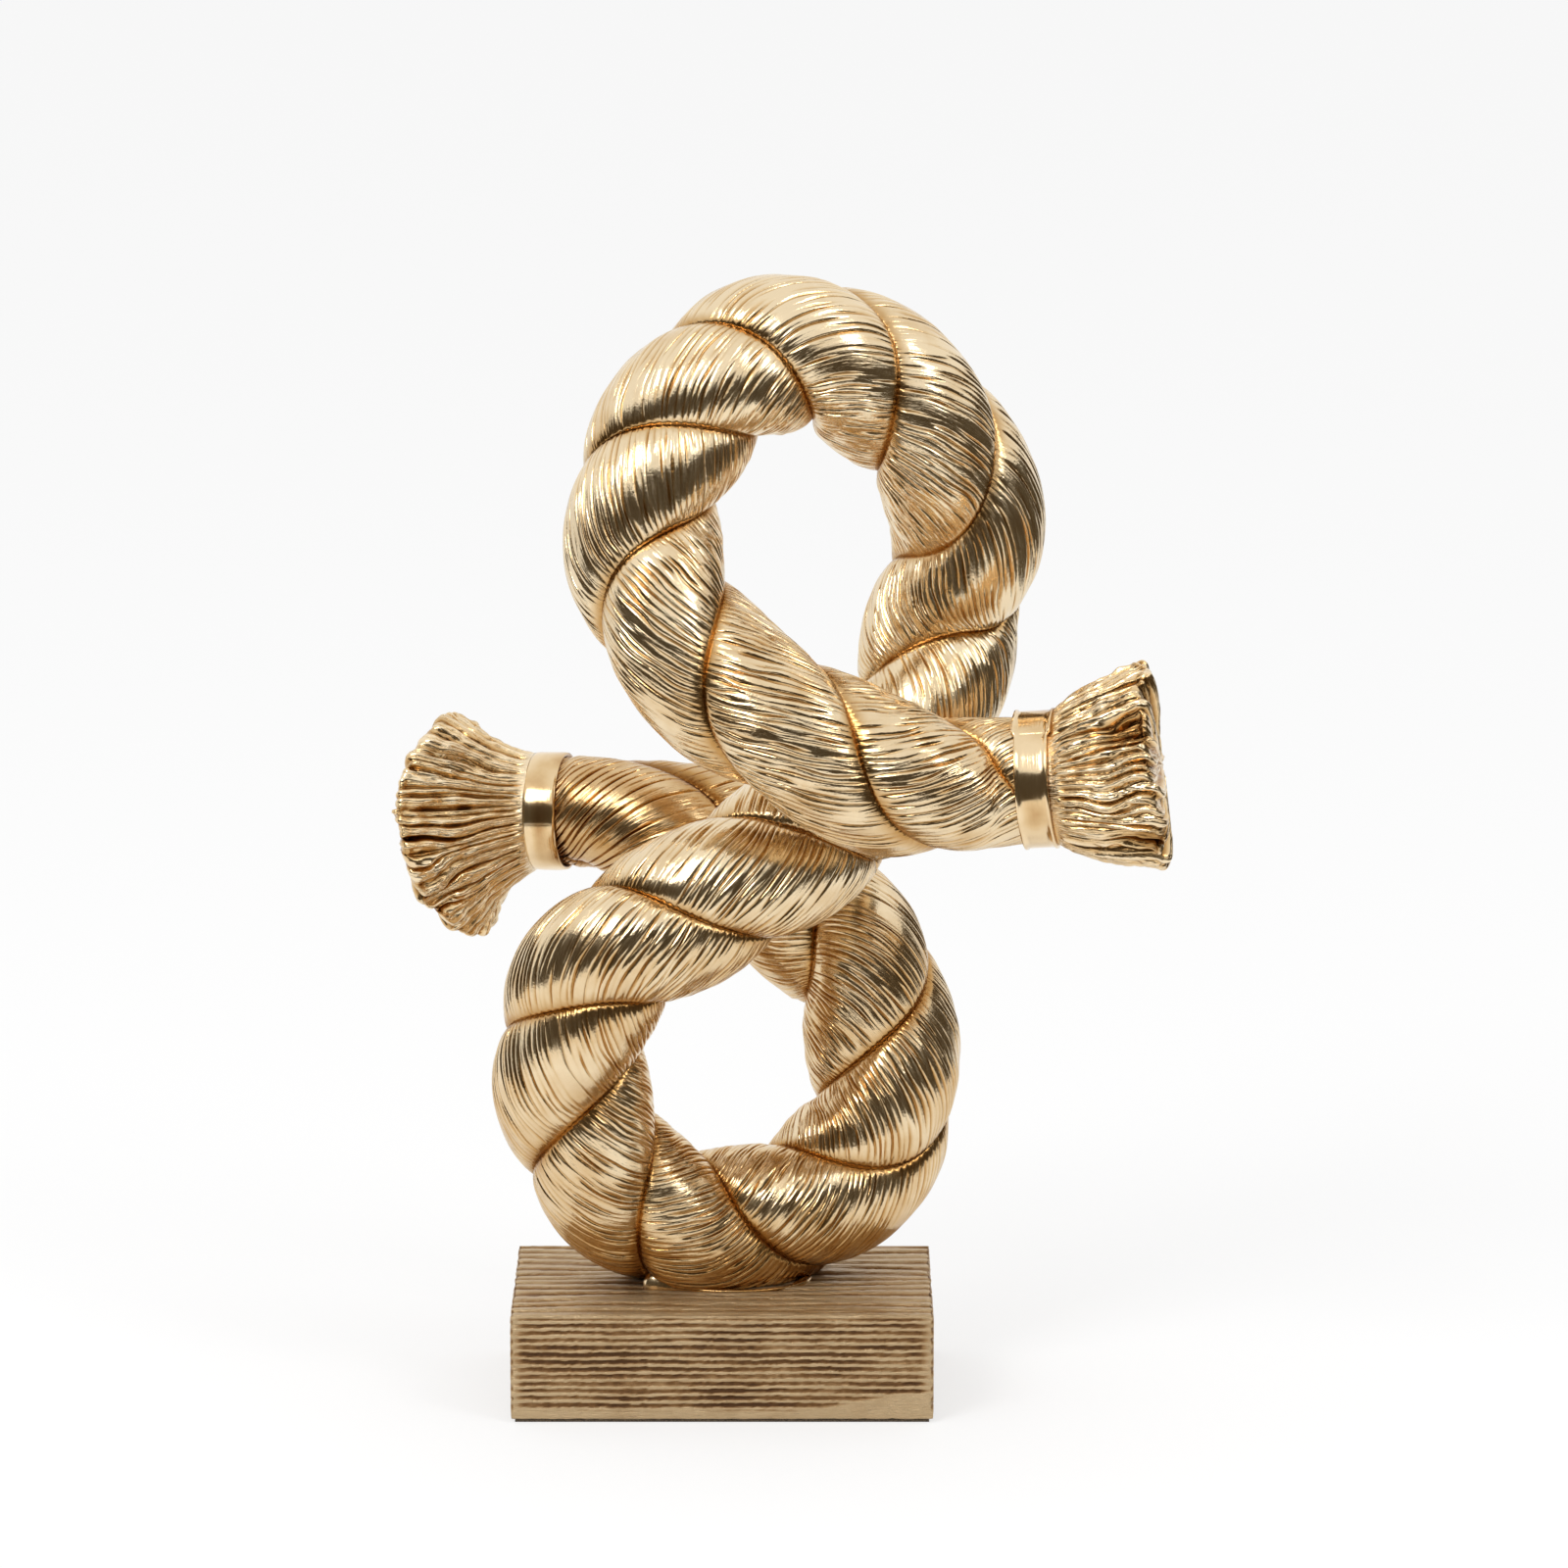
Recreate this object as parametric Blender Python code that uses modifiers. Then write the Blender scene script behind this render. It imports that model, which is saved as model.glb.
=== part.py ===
"""Rope knot sculpture: a gilded two-strand rope bent into a figure of eight on a grained plinth.

Metres, +Z up, front towards -Y. The origin is the centre of the felt's underside.
"""
import math

import bmesh
import bpy
import numpy as np
from mathutils import Matrix, Vector

# Plinth, felt and fixing
PLINTH_LENGTH = 0.1415
PLINTH_DEPTH = 0.090
PLINTH_HEIGHT = 0.0362
PLINTH_CHAMFER = 0.0008
FACE_GRAIN_PITCH = 0.0027
TOP_GRAIN_PITCH = 0.0045
GRAIN_DEPTH = 0.0006
FELT_THICKNESS = 0.0008
FELT_INSET = 0.0015
STUD_RADIUS = 0.004
NUT_ACROSS_FLATS = 0.013
NUT_HEIGHT = 0.0065
WASHER_RADIUS = 0.008
WASHER_THICKNESS = 0.0016
STUD_TAIL = 0.0015
COUNTERBORE_MARGIN = 0.003

# Rope and its figure of eight
ROPE_RADIUS = 0.0265
CORE_RADIUS = 0.002
SEAT_FLAT = 0.003
LOWER_LOOP_RADIUS = 0.053
UPPER_LOOP_RADIUS = 0.051
LOWER_LOOP_X = 0.0015
LOOP_LEAN = 0.027
WAIST_SPAN_RADII = 3.32
LEFT_ARM_REACH = 0.0735
RIGHT_ARM_REACH = 0.0895
STRAIGHT_RUN = 0.0095

# Lay of the strands
STRAND_COUNT = 2
GROOVE_DEPTH = 0.0065
LOBE_CURVE = 1.25
LEFT_ARM_LAY_LENGTH = 0.24
LEFT_ARM_LAY_RUN = 0.060
LOWER_LAY_LENGTH = 0.0866
UPPER_LAY_LENGTH = 0.0953
LAY_CHANGE_RUN = 0.143
SEAT_LAY_PHASE = math.radians(208.0)
LAY_SWING = math.radians(34.5)
LAY_SWING_WAVE = 0.303
LAY_SWING_START = 0.090
LAY_SWING_PEAK = 0.1535

# Necks, bands and frayed ends
LEFT_NECK_RADIUS = 0.0187
RIGHT_NECK_RADIUS = 0.0205
LEFT_TAPER_RUN = 0.060
RIGHT_TAPER_RUN = 0.050
BAND_WIDTH = 0.011
BAND_THICKNESS = 0.0015
BAND_RIM_WIDTH = 0.0016
BAND_RIM_HEIGHT = 0.0007
LEFT_TASSEL_LENGTH = 0.0475
RIGHT_TASSEL_LENGTH = 0.0405
LEFT_MOUTH_RADIUS = 0.0375
RIGHT_MOUTH_RADIUS = 0.0335
LEFT_END_DOME = 0.018
RIGHT_END_DOME = -0.003
LEFT_DROOP = 0.0045
RIGHT_DROOP = -0.001
LEFT_END_SLANT = 0.12
RIGHT_END_SLANT = -0.04
LEFT_TASSEL_BACK_ANGLE = math.radians(12.0)
LEFT_TASSEL_DIP_ANGLE = math.radians(2.0)
RIGHT_TASSEL_FRONT_ANGLE = math.radians(8.0)
RIGHT_TASSEL_RISE_ANGLE = math.radians(4.8)
LEFT_FLARE_CURVE = 1.2
RIGHT_FLARE_CURVE = 0.95
DROOP_CURVE = 1.3
FLUTE_COUNT = 24
CLUMP_COUNT = 7
FLUTE_DEPTH = 0.035
CLUMP_DEPTH = 0.07
RAGGED_DEPTH = 0.0016
ROD_TAIL = 0.016

# Clearances and mesh density
CLEARANCE = 0.0003
STRAND_GAP = 0.0006
RING_SPACING = 0.0055
ROD_SPACING = 0.008
CREST_POINTS = 11
CREST_SWEEP = math.radians(100.0)
ROUND_SEGMENTS = 24
BAND_SEGMENTS = 36
CURVE_STEPS = 24

# Heights and centres that follow from the sizes above
PLINTH_BOTTOM = FELT_THICKNESS + CLEARANCE
PLINTH_TOP = PLINTH_BOTTOM + PLINTH_HEIGHT
LOWER_CENTRE = np.array([
    LOWER_LOOP_X,
    0.0,
    PLINTH_TOP + CLEARANCE - SEAT_FLAT + ROPE_RADIUS + LOWER_LOOP_RADIUS,
])
UPPER_CENTRE = LOWER_CENTRE + np.array([
    LOOP_LEAN,
    0.0,
    LOWER_LOOP_RADIUS + UPPER_LOOP_RADIUS + WAIST_SPAN_RADII * ROPE_RADIUS,
])
WAIST = (LOWER_CENTRE + UPPER_CENTRE) / 2
LEFT_AXIS = np.array([
    -math.cos(LEFT_TASSEL_BACK_ANGLE) * math.cos(LEFT_TASSEL_DIP_ANGLE),
    math.sin(LEFT_TASSEL_BACK_ANGLE) * math.cos(LEFT_TASSEL_DIP_ANGLE),
    -math.sin(LEFT_TASSEL_DIP_ANGLE),
])
RIGHT_AXIS = np.array([
    math.cos(RIGHT_TASSEL_FRONT_ANGLE) * math.cos(RIGHT_TASSEL_RISE_ANGLE),
    -math.sin(RIGHT_TASSEL_FRONT_ANGLE) * math.cos(RIGHT_TASSEL_RISE_ANGLE),
    math.sin(RIGHT_TASSEL_RISE_ANGLE),
])


def clear_scene():
    for item in list(bpy.data.objects):
        bpy.data.objects.remove(item)


def new_collection(name):
    group = bpy.data.collections.new(name)
    bpy.context.scene.collection.children.link(group)
    return group


clear_scene()
PARTS = new_collection("rope_knot_sculpture")
CUTTERS = new_collection("cutters")


def material(name, colour, roughness, metallic):
    made = bpy.data.materials.new(name)
    made.use_nodes = True
    shader = made.node_tree.nodes["Principled BSDF"]
    shader.inputs["Base Color"].default_value = (*colour, 1.0)
    shader.inputs["Roughness"].default_value = roughness
    shader.inputs["Metallic"].default_value = metallic
    return made


def add_part(name, data, finish, matrix=Matrix()):
    made = bpy.data.objects.new(name, data)
    made.matrix_world = matrix
    data.materials.append(finish)
    PARTS.objects.link(made)
    return made


def add_guide(name, data):
    made = bpy.data.objects.new(name, data)
    made.hide_render = True
    made.display_type = "WIRE"
    CUTTERS.objects.link(made)
    return made


def weld(mesh, merge=1e-6):
    """Close loose caps, point the faces outward and shade the round sides smooth."""
    work = bmesh.new()
    work.from_mesh(mesh)
    bmesh.ops.remove_doubles(work, verts=work.verts, dist=merge)
    bmesh.ops.recalc_face_normals(work, faces=work.faces)
    work.to_mesh(mesh)
    work.free()
    mesh.shade_smooth()
    mesh.set_sharp_from_angle(angle=math.radians(45.0))


def mesh_of(guide, name):
    """Turn a guide's evaluated shape into a mesh of its own and remove the guide."""
    bpy.context.view_layer.update()
    evaluated = guide.evaluated_get(bpy.context.evaluated_depsgraph_get())
    mesh = bpy.data.meshes.new_from_object(evaluated)
    mesh.name = name
    weld(mesh)
    bpy.data.objects.remove(guide)
    return mesh


def cut(target, cutter):
    tool = target.modifiers.new("cut_" + cutter.name, "BOOLEAN")
    tool.operation = "DIFFERENCE"
    tool.solver = "EXACT"
    tool.object = cutter


def cylinder_mesh(name, radius, bottom, top, centre, segments=ROUND_SEGMENTS):
    work = bmesh.new()
    middle = Matrix.Translation((centre[0], centre[1], (bottom + top) / 2))
    bmesh.ops.create_cone(
        work, cap_ends=True, segments=segments, radius1=radius, radius2=radius,
        depth=top - bottom, matrix=middle,
    )
    mesh = bpy.data.meshes.new(name)
    work.to_mesh(mesh)
    work.free()
    mesh.shade_smooth()
    mesh.set_sharp_from_angle(angle=math.radians(45.0))
    return mesh


def box_mesh(name, low, high):
    work = bmesh.new()
    low = Vector(low)
    high = Vector(high)
    size = Matrix.Diagonal((*(high - low), 1.0))
    bmesh.ops.create_cube(work, size=1.0, matrix=Matrix.Translation((low + high) / 2) @ size)
    mesh = bpy.data.meshes.new(name)
    work.to_mesh(mesh)
    work.free()
    return mesh


def turned_mesh(name, profile, segments):
    """Turn an (radius, height) profile about Z, its outer side running from top to bottom."""
    outline = bpy.data.meshes.new(name)
    closed = profile[0] == profile[-1]
    points = profile[:-1] if closed else profile
    edges = [(k, k + 1) for k in range(len(points) - 1)]
    if closed:
        edges.append((len(points) - 1, 0))
    outline.from_pydata([(r, 0.0, z) for r, z in points], edges, [])
    guide = add_guide(name + "_profile", outline)
    screw = guide.modifiers.new("turn", "SCREW")
    screw.steps = segments
    screw.render_steps = segments
    screw.use_merge_vertices = True
    screw.merge_threshold = 1e-6
    return mesh_of(guide, name)


def smooth_step(values):
    held = np.clip(values, 0.0, 1.0)
    return held * held * (3.0 - 2.0 * held)


def crossing(right, up, back):
    """A point near the waist, its offsets counted in rope radii so that the crossings stay clear."""
    return WAIST + ROPE_RADIUS * np.array([right, back, up])


def loop_arc(centre, radius, first, last, first_back, last_back, bulges):
    """A point for each bulge round a loop; angles in degrees, depths and bulges in rope radii."""
    turn = np.radians(np.linspace(first, last, len(bulges)))
    back = ROPE_RADIUS * np.linspace(first_back, last_back, len(bulges))
    reach = radius + ROPE_RADIUS * np.array(bulges)
    return list(centre + np.column_stack([reach * np.cos(turn), back, reach * np.sin(turn)]))


def route_points():
    """From the left band, behind the knot, round both loops, and across the front to the right band."""
    left = crossing(0.0, -0.79, 1.88) - np.array([LEFT_ARM_REACH, 0.0, 0.0])
    right = crossing(0.0, 0.337, -1.6) + np.array([RIGHT_ARM_REACH, 0.0, 0.0])
    lower_bulges = (-0.03, -0.02, 0.22, 0.22, 0.24, 0.15, 0.0, 0.01, 0.12)
    upper_bulges = (0.15, -0.17, -0.29, -0.14, -0.05, -0.05, 0.05, 0.23)
    points = [left, left - STRAIGHT_RUN * LEFT_AXIS, left - (STRAIGHT_RUN + BAND_WIDTH / 2) * LEFT_AXIS]
    points += [crossing(-1.3, -0.95, 1.58), crossing(-0.54, -1.27, 1.66), crossing(0.33, -1.92, 1.51)]
    points += loop_arc(LOWER_CENTRE, LOWER_LOOP_RADIUS, 32.0, -222.0, 1.2, -0.8, lower_bulges)
    points += [crossing(-0.73, -1.36, -0.73), crossing(0.13, -0.91, -0.37)]
    points += [crossing(0.98, -0.36, 0.18), crossing(1.94, 0.61, 0.55), crossing(2.23, 1.89, 1.04)]
    points += loop_arc(UPPER_CENTRE, UPPER_LOOP_RADIUS, -12.0, 200.0, 0.8, -0.7, upper_bulges)
    points += [crossing(-0.67, 1.58, -1.22), crossing(0.34, 0.97, -1.56), crossing(1.58, 0.36, -1.68)]
    points += [right - (STRAIGHT_RUN + BAND_WIDTH / 2) * RIGHT_AXIS, right - STRAIGHT_RUN * RIGHT_AXIS, right]
    return np.array(points)


def smooth_curve(points):
    """Centripetal Catmull-Rom curve through the points, CURVE_STEPS to each span."""
    held = np.vstack([2 * points[0] - points[1], points, 2 * points[-1] - points[-2]])
    knots = np.concatenate([[0.0], np.cumsum(np.linalg.norm(np.diff(held, axis=0), axis=1) ** 0.5)])
    pieces = []
    for k in range(1, len(held) - 2):
        p0, p1, p2, p3 = held[k - 1:k + 3]
        t0, t1, t2, t3 = knots[k - 1:k + 3]
        t = np.linspace(t1, t2, CURVE_STEPS, endpoint=False)[:, None]
        a1 = ((t1 - t) * p0 + (t - t0) * p1) / (t1 - t0)
        a2 = ((t2 - t) * p1 + (t - t1) * p2) / (t2 - t1)
        a3 = ((t3 - t) * p2 + (t - t2) * p3) / (t3 - t2)
        b1 = ((t2 - t) * a1 + (t - t0) * a2) / (t2 - t0)
        b2 = ((t3 - t) * a2 + (t - t1) * a3) / (t3 - t1)
        pieces.append(((t2 - t) * b1 + (t - t1) * b2) / (t2 - t1))
    pieces.append(held[-2:-1])
    return np.vstack(pieces)


def stations_along(points):
    return np.concatenate([[0.0], np.cumsum(np.linalg.norm(np.diff(points, axis=0), axis=1))])


def lay_turn(station, length, seat_station):
    """How far the strands have turned about the rope's axis at each station, set where the rope is seated."""
    past_half = station - length / 2
    share = smooth_step(past_half / LAY_CHANGE_RUN)
    opened = 1.0 - smooth_step((station - LEFT_ARM_LAY_RUN / 2) / (LEFT_ARM_LAY_RUN / 2))
    lay = LOWER_LAY_LENGTH + (UPPER_LAY_LENGTH - LOWER_LAY_LENGTH) * share
    lay += (LEFT_ARM_LAY_LENGTH - LOWER_LAY_LENGTH) * opened
    rate = 2.0 * math.pi / lay
    turned = np.concatenate([[0.0], np.cumsum((rate[1:] + rate[:-1]) / 2 * np.diff(station))])
    turned -= np.interp(seat_station, station, turned)
    swing = LAY_SWING * np.cos(2.0 * math.pi * (past_half - LAY_SWING_PEAK) / LAY_SWING_WAVE)
    fade = smooth_step((past_half - LAY_SWING_START) / (LAY_SWING_PEAK - LAY_SWING_START))
    return SEAT_LAY_PHASE + turned - swing * fade


def rope_radius(station, length):
    left = LEFT_NECK_RADIUS + (ROPE_RADIUS - LEFT_NECK_RADIUS) * smooth_step(station / LEFT_TAPER_RUN)
    from_right = (length - station) / RIGHT_TAPER_RUN
    right = RIGHT_NECK_RADIUS + (ROPE_RADIUS - RIGHT_NECK_RADIUS) * smooth_step(from_right)
    return np.minimum(left, right)


FINE_ROUTE = smooth_curve(route_points())
FINE_STATION = stations_along(FINE_ROUTE)
ROPE_LENGTH = FINE_STATION[-1]
SEAT_INDEX = FINE_ROUTE[:, 2].argmin()
FINE_TURN = lay_turn(FINE_STATION, ROPE_LENGTH, FINE_STATION[SEAT_INDEX])


def on_route(station):
    return np.column_stack([np.interp(station, FINE_STATION, FINE_ROUTE[:, axis]) for axis in range(3)])


# A route is drawn with its depth along the curve's local Z, so that tilt is counted from the front
DRAWN_UPRIGHT = Matrix.Rotation(math.radians(90.0), 4, "X")


def swept_guide(name, points):
    data = bpy.data.curves.new(name, "CURVE")
    data.dimensions = "3D"
    data.twist_mode = "Z_UP"
    data.use_fill_caps = True
    spline = data.splines.new("POLY")
    spline.points.add(len(points) - 1)
    for node, (x, y, z) in zip(spline.points, points):
        node.co = (x, z, -y, 1.0)
    guide = add_guide(name, data)
    guide.matrix_world = DRAWN_UPRIGHT
    return guide


def strand_profile():
    """One strand's section at full rope size: a lobe above the groove, and a wedge below it to the core."""
    slimmest = min(LEFT_NECK_RADIUS, RIGHT_NECK_RADIUS)
    inner = (CORE_RADIUS + CLEARANCE) * ROPE_RADIUS / slimmest
    groove = ROPE_RADIUS - GROOVE_DEPTH
    half_angle = math.pi / STRAND_COUNT - STRAND_GAP / 2 / groove * ROPE_RADIUS / slimmest
    crest = np.linspace(-CREST_SWEEP, CREST_SWEEP, CREST_POINTS)
    inside = math.pi + np.array([-1.0, 0.0, 1.0]) * (math.pi - CREST_SWEEP) / 2
    turns = np.concatenate([crest, inside])
    data = bpy.data.curves.new("strand_section", "CURVE")
    data.dimensions = "2D"
    spline = data.splines.new("POLY")
    spline.use_cyclic_u = True
    spline.points.add(len(turns) - 1)
    for node, turn in zip(spline.points, turns):
        height = math.cos(turn)
        lobe = GROOVE_DEPTH * max(height, 0.0) ** LOBE_CURVE
        wedge = (groove - inner) * max(-height, 0.0)
        radius = groove + lobe - wedge
        angle = half_angle * math.sin(turn)
        node.co = (radius * math.cos(angle), radius * math.sin(angle), 0.0, 1.0)
    return add_guide("strand_section", data)


def make_strand(name, section, offset, finish):
    rings = round(ROPE_LENGTH / RING_SPACING)
    station = np.linspace(CLEARANCE / 2, ROPE_LENGTH - CLEARANCE / 2, rings)
    guide = swept_guide(name + "_route", on_route(station))
    guide.data.bevel_mode = "OBJECT"
    guide.data.bevel_object = section
    scale = rope_radius(station, ROPE_LENGTH) / ROPE_RADIUS
    tilt = np.interp(station, FINE_STATION, FINE_TURN) + offset
    for node, size, turn in zip(guide.data.splines[0].points, scale, tilt):
        node.radius = size
        node.tilt = turn
    strand = add_part(name, mesh_of(guide, name), finish, DRAWN_UPRIGHT)
    facets = strand.modifiers.new("even_facets", "TRIANGULATE")
    facets.quad_method = "SHORTEST_DIAGONAL"
    return strand


def make_core_rod(finish):
    """The armature wire that holds the rope's shape, its tails let into the frayed ends."""
    along = on_route(np.linspace(0.0, ROPE_LENGTH, round(ROPE_LENGTH / ROD_SPACING)))
    reach = ROD_TAIL - CLEARANCE
    points = np.vstack([along[0] + reach * LEFT_AXIS, along, along[-1] + reach * RIGHT_AXIS])
    guide = swept_guide("core_rod_route", points)
    guide.data.bevel_depth = CORE_RADIUS
    guide.data.bevel_resolution = 0
    return add_part("core_rod", mesh_of(guide, "core_rod"), finish, DRAWN_UPRIGHT)


def placed_along(point, axis):
    return Matrix.Translation(Vector(point)) @ Vector(axis).to_track_quat("Z", "Y").to_matrix().to_4x4()


def rimmed_band_profile(inner):
    half = BAND_WIDTH / 2
    bed = inner + BAND_THICKNESS
    rim = bed + BAND_RIM_HEIGHT
    shoulder = half - BAND_RIM_WIDTH
    return [
        (inner, half), (rim, half), (rim, shoulder), (bed, shoulder), (bed, -shoulder),
        (rim, -shoulder), (rim, -half), (inner, -half), (inner, half),
    ]


def crowned_band_profile(inner):
    half = BAND_WIDTH / 2
    crown = inner + BAND_THICKNESS
    edge = inner + BAND_THICKNESS / 2
    return [
        (inner, half), (edge, half), (crown, half / 2), (crown, -half / 2), (edge, -half),
        (inner, -half), (inner, half),
    ]


def make_band(name, profile, point, axis, finish):
    mesh = turned_mesh(name, profile, BAND_SEGMENTS)
    return add_part(name, mesh, finish, placed_along(point, axis))


def frayed_profile(neck, mouth, length, dome, flare_curve):
    """Socket for the core rod, a neck held in the band, a flare and a domed or hollow end."""
    socket = CORE_RADIUS + CLEARANCE
    butt = CLEARANCE / 2
    flare_start = BAND_WIDTH / 2 + CLEARANCE
    edge = length - max(dome, 0.0)
    side = [(neck, butt)]
    for share in np.linspace(0.0, 1.0, 6):
        flared = neck + (mouth - neck) * share ** flare_curve
        side.append((flared, flare_start + (edge - flare_start) * share))
    end = [(mouth * math.cos(turn), edge + dome * math.sin(turn)) for turn in (0.6, 1.1)]
    bottom_up = [(0.0, ROD_TAIL), (socket, ROD_TAIL), (socket, butt)]
    bottom_up += side + end + [(0.0, edge + dome)]
    return bottom_up[::-1]


def make_frayed_end(name, profile, length, point, axis, droop, slant, finish):
    """A turned flare drawn into flutes and clumps of yarn, with a ragged, slanting, drooping end."""
    mesh = turned_mesh(name, profile, 2 * FLUTE_COUNT)
    flare_start = BAND_WIDTH / 2 + CLEARANCE
    flare_length = length - flare_start
    socket = CORE_RADIUS + CLEARANCE
    place = placed_along(point, axis)
    upward = place.to_3x3().inverted() @ Vector((0.0, 0.0, 1.0))
    for vertex in mesh.vertices:
        x, y, z = vertex.co
        radius = math.hypot(x, y)
        if radius < 2.0 * socket and z < ROD_TAIL + CLEARANCE:
            continue
        turn = math.atan2(y, x)
        share = min(max((z - flare_start) / flare_length, 0.0), 1.0)
        if radius > 2.0 * socket:
            flute = FLUTE_DEPTH * math.cos(FLUTE_COUNT * turn)
            clump = CLUMP_DEPTH * math.cos(CLUMP_COUNT * turn + 0.6) * share
            growth = 1.0 + share * (flute + clump)
            ragged = math.sin(5.0 * turn + 1.0) + math.sin(11.0 * turn)
            slanted = slant * (x * upward.x + y * upward.y) * share
            vertex.co = (x * growth, y * growth, z + slanted + RAGGED_DEPTH * ragged * share ** 3)
        vertex.co -= upward * droop * share ** DROOP_CURVE
    weld(mesh)
    return add_part(name, mesh, finish, place)


def grained_edge(start, end, pitch, inward):
    """Points from start to end with a shallow groove in each pitch, cut towards inward."""
    start = np.array(start)
    end = np.array(end)
    inward = np.array(inward)
    count = int(np.linalg.norm(end - start) / pitch)
    points = []
    for k in range(count):
        depth = GRAIN_DEPTH * (0.65 + 0.35 * math.sin(2.4 * k))
        for share, inset in ((0.15, 0.0), (0.65, 0.0), (0.85, depth)):
            points.append(start + (end - start) * (k + share) / count + inward * inset)
    return points


def plinth_outline():
    """Section across the plinth: flat underneath, grain ridges on the front, back and top."""
    half = PLINTH_DEPTH / 2
    shoulder = PLINTH_TOP - PLINTH_CHAMFER
    lip = half - PLINTH_CHAMFER
    outline = [(-half, PLINTH_BOTTOM), (half, PLINTH_BOTTOM)]
    outline += grained_edge((half, PLINTH_BOTTOM), (half, shoulder), FACE_GRAIN_PITCH, (-1.0, 0.0))
    outline += [(half, shoulder)]
    outline += grained_edge((lip, PLINTH_TOP), (-lip, PLINTH_TOP), TOP_GRAIN_PITCH, (0.0, -1.0))
    outline += [(-half, shoulder)]
    outline += grained_edge((-half, shoulder), (-half, PLINTH_BOTTOM), FACE_GRAIN_PITCH, (1.0, 0.0))
    return outline


def make_plinth(finish):
    data = bpy.data.curves.new("plinth_outline", "CURVE")
    data.dimensions = "2D"
    data.fill_mode = "BOTH"
    data.extrude = PLINTH_LENGTH / 2
    outline = plinth_outline()
    spline = data.splines.new("POLY")
    spline.use_cyclic_u = True
    spline.points.add(len(outline) - 1)
    for node, (across, up) in zip(spline.points, outline):
        node.co = (across, up, 0.0, 1.0)
    guide = add_guide("plinth_outline", data)
    lying = Matrix.Rotation(math.radians(90.0), 4, "Z") @ Matrix.Rotation(math.radians(90.0), 4, "X")
    return add_part("plinth", mesh_of(guide, "plinth"), finish, lying)


def make_felt(finish):
    half_x = PLINTH_LENGTH / 2 - FELT_INSET
    half_y = PLINTH_DEPTH / 2 - FELT_INSET
    mesh = box_mesh("felt_base", (-half_x, -half_y, 0.0), (half_x, half_y, FELT_THICKNESS))
    return add_part("felt_base", mesh, finish)


def make_fixing(seat, steel, strands, plinth):
    """Stud through the plinth into the rope's lowest turn, with its washer and nut underneath."""
    bore = STUD_RADIUS + CLEARANCE
    stud_top = seat[2] - CORE_RADIUS - CLEARANCE
    nut_bottom = PLINTH_BOTTOM + STUD_TAIL
    nut_top = nut_bottom + NUT_HEIGHT
    washer_bottom = nut_top + CLEARANCE
    washer_top = washer_bottom + WASHER_THICKNESS
    recess_top = washer_top + CLEARANCE
    recess_radius = WASHER_RADIUS + COUNTERBORE_MARGIN
    below = PLINTH_BOTTOM - COUNTERBORE_MARGIN
    above = PLINTH_TOP + COUNTERBORE_MARGIN

    add_part("mounting_stud", cylinder_mesh("mounting_stud", STUD_RADIUS, PLINTH_BOTTOM, stud_top, seat), steel)
    washer = add_part(
        "stud_washer", cylinder_mesh("stud_washer", WASHER_RADIUS, washer_bottom, washer_top, seat), steel)
    nut_radius = NUT_ACROSS_FLATS / math.sqrt(3.0)
    nut = add_part("stud_nut", cylinder_mesh("stud_nut", nut_radius, nut_bottom, nut_top, seat, 6), steel)

    stud_way = add_guide("stud_way", cylinder_mesh("stud_way", bore, below, above, seat))
    recess = add_guide("nut_recess", cylinder_mesh("nut_recess", recess_radius, below, recess_top, seat))
    stud_bore = add_guide("stud_bore", cylinder_mesh("stud_bore", bore, below, stud_top + CLEARANCE, seat))
    under = PLINTH_TOP + CLEARANCE
    seat_plane = add_guide("seat_plane", box_mesh(
        "seat_plane",
        (-PLINTH_LENGTH, -PLINTH_DEPTH, under - 2.0 * ROPE_RADIUS), (PLINTH_LENGTH, PLINTH_DEPTH, under)))
    cut(washer, stud_way)
    cut(nut, stud_way)
    cut(plinth, stud_way)
    cut(plinth, recess)
    for strand in strands:
        cut(strand, seat_plane)
        cut(strand, stud_bore)


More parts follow.
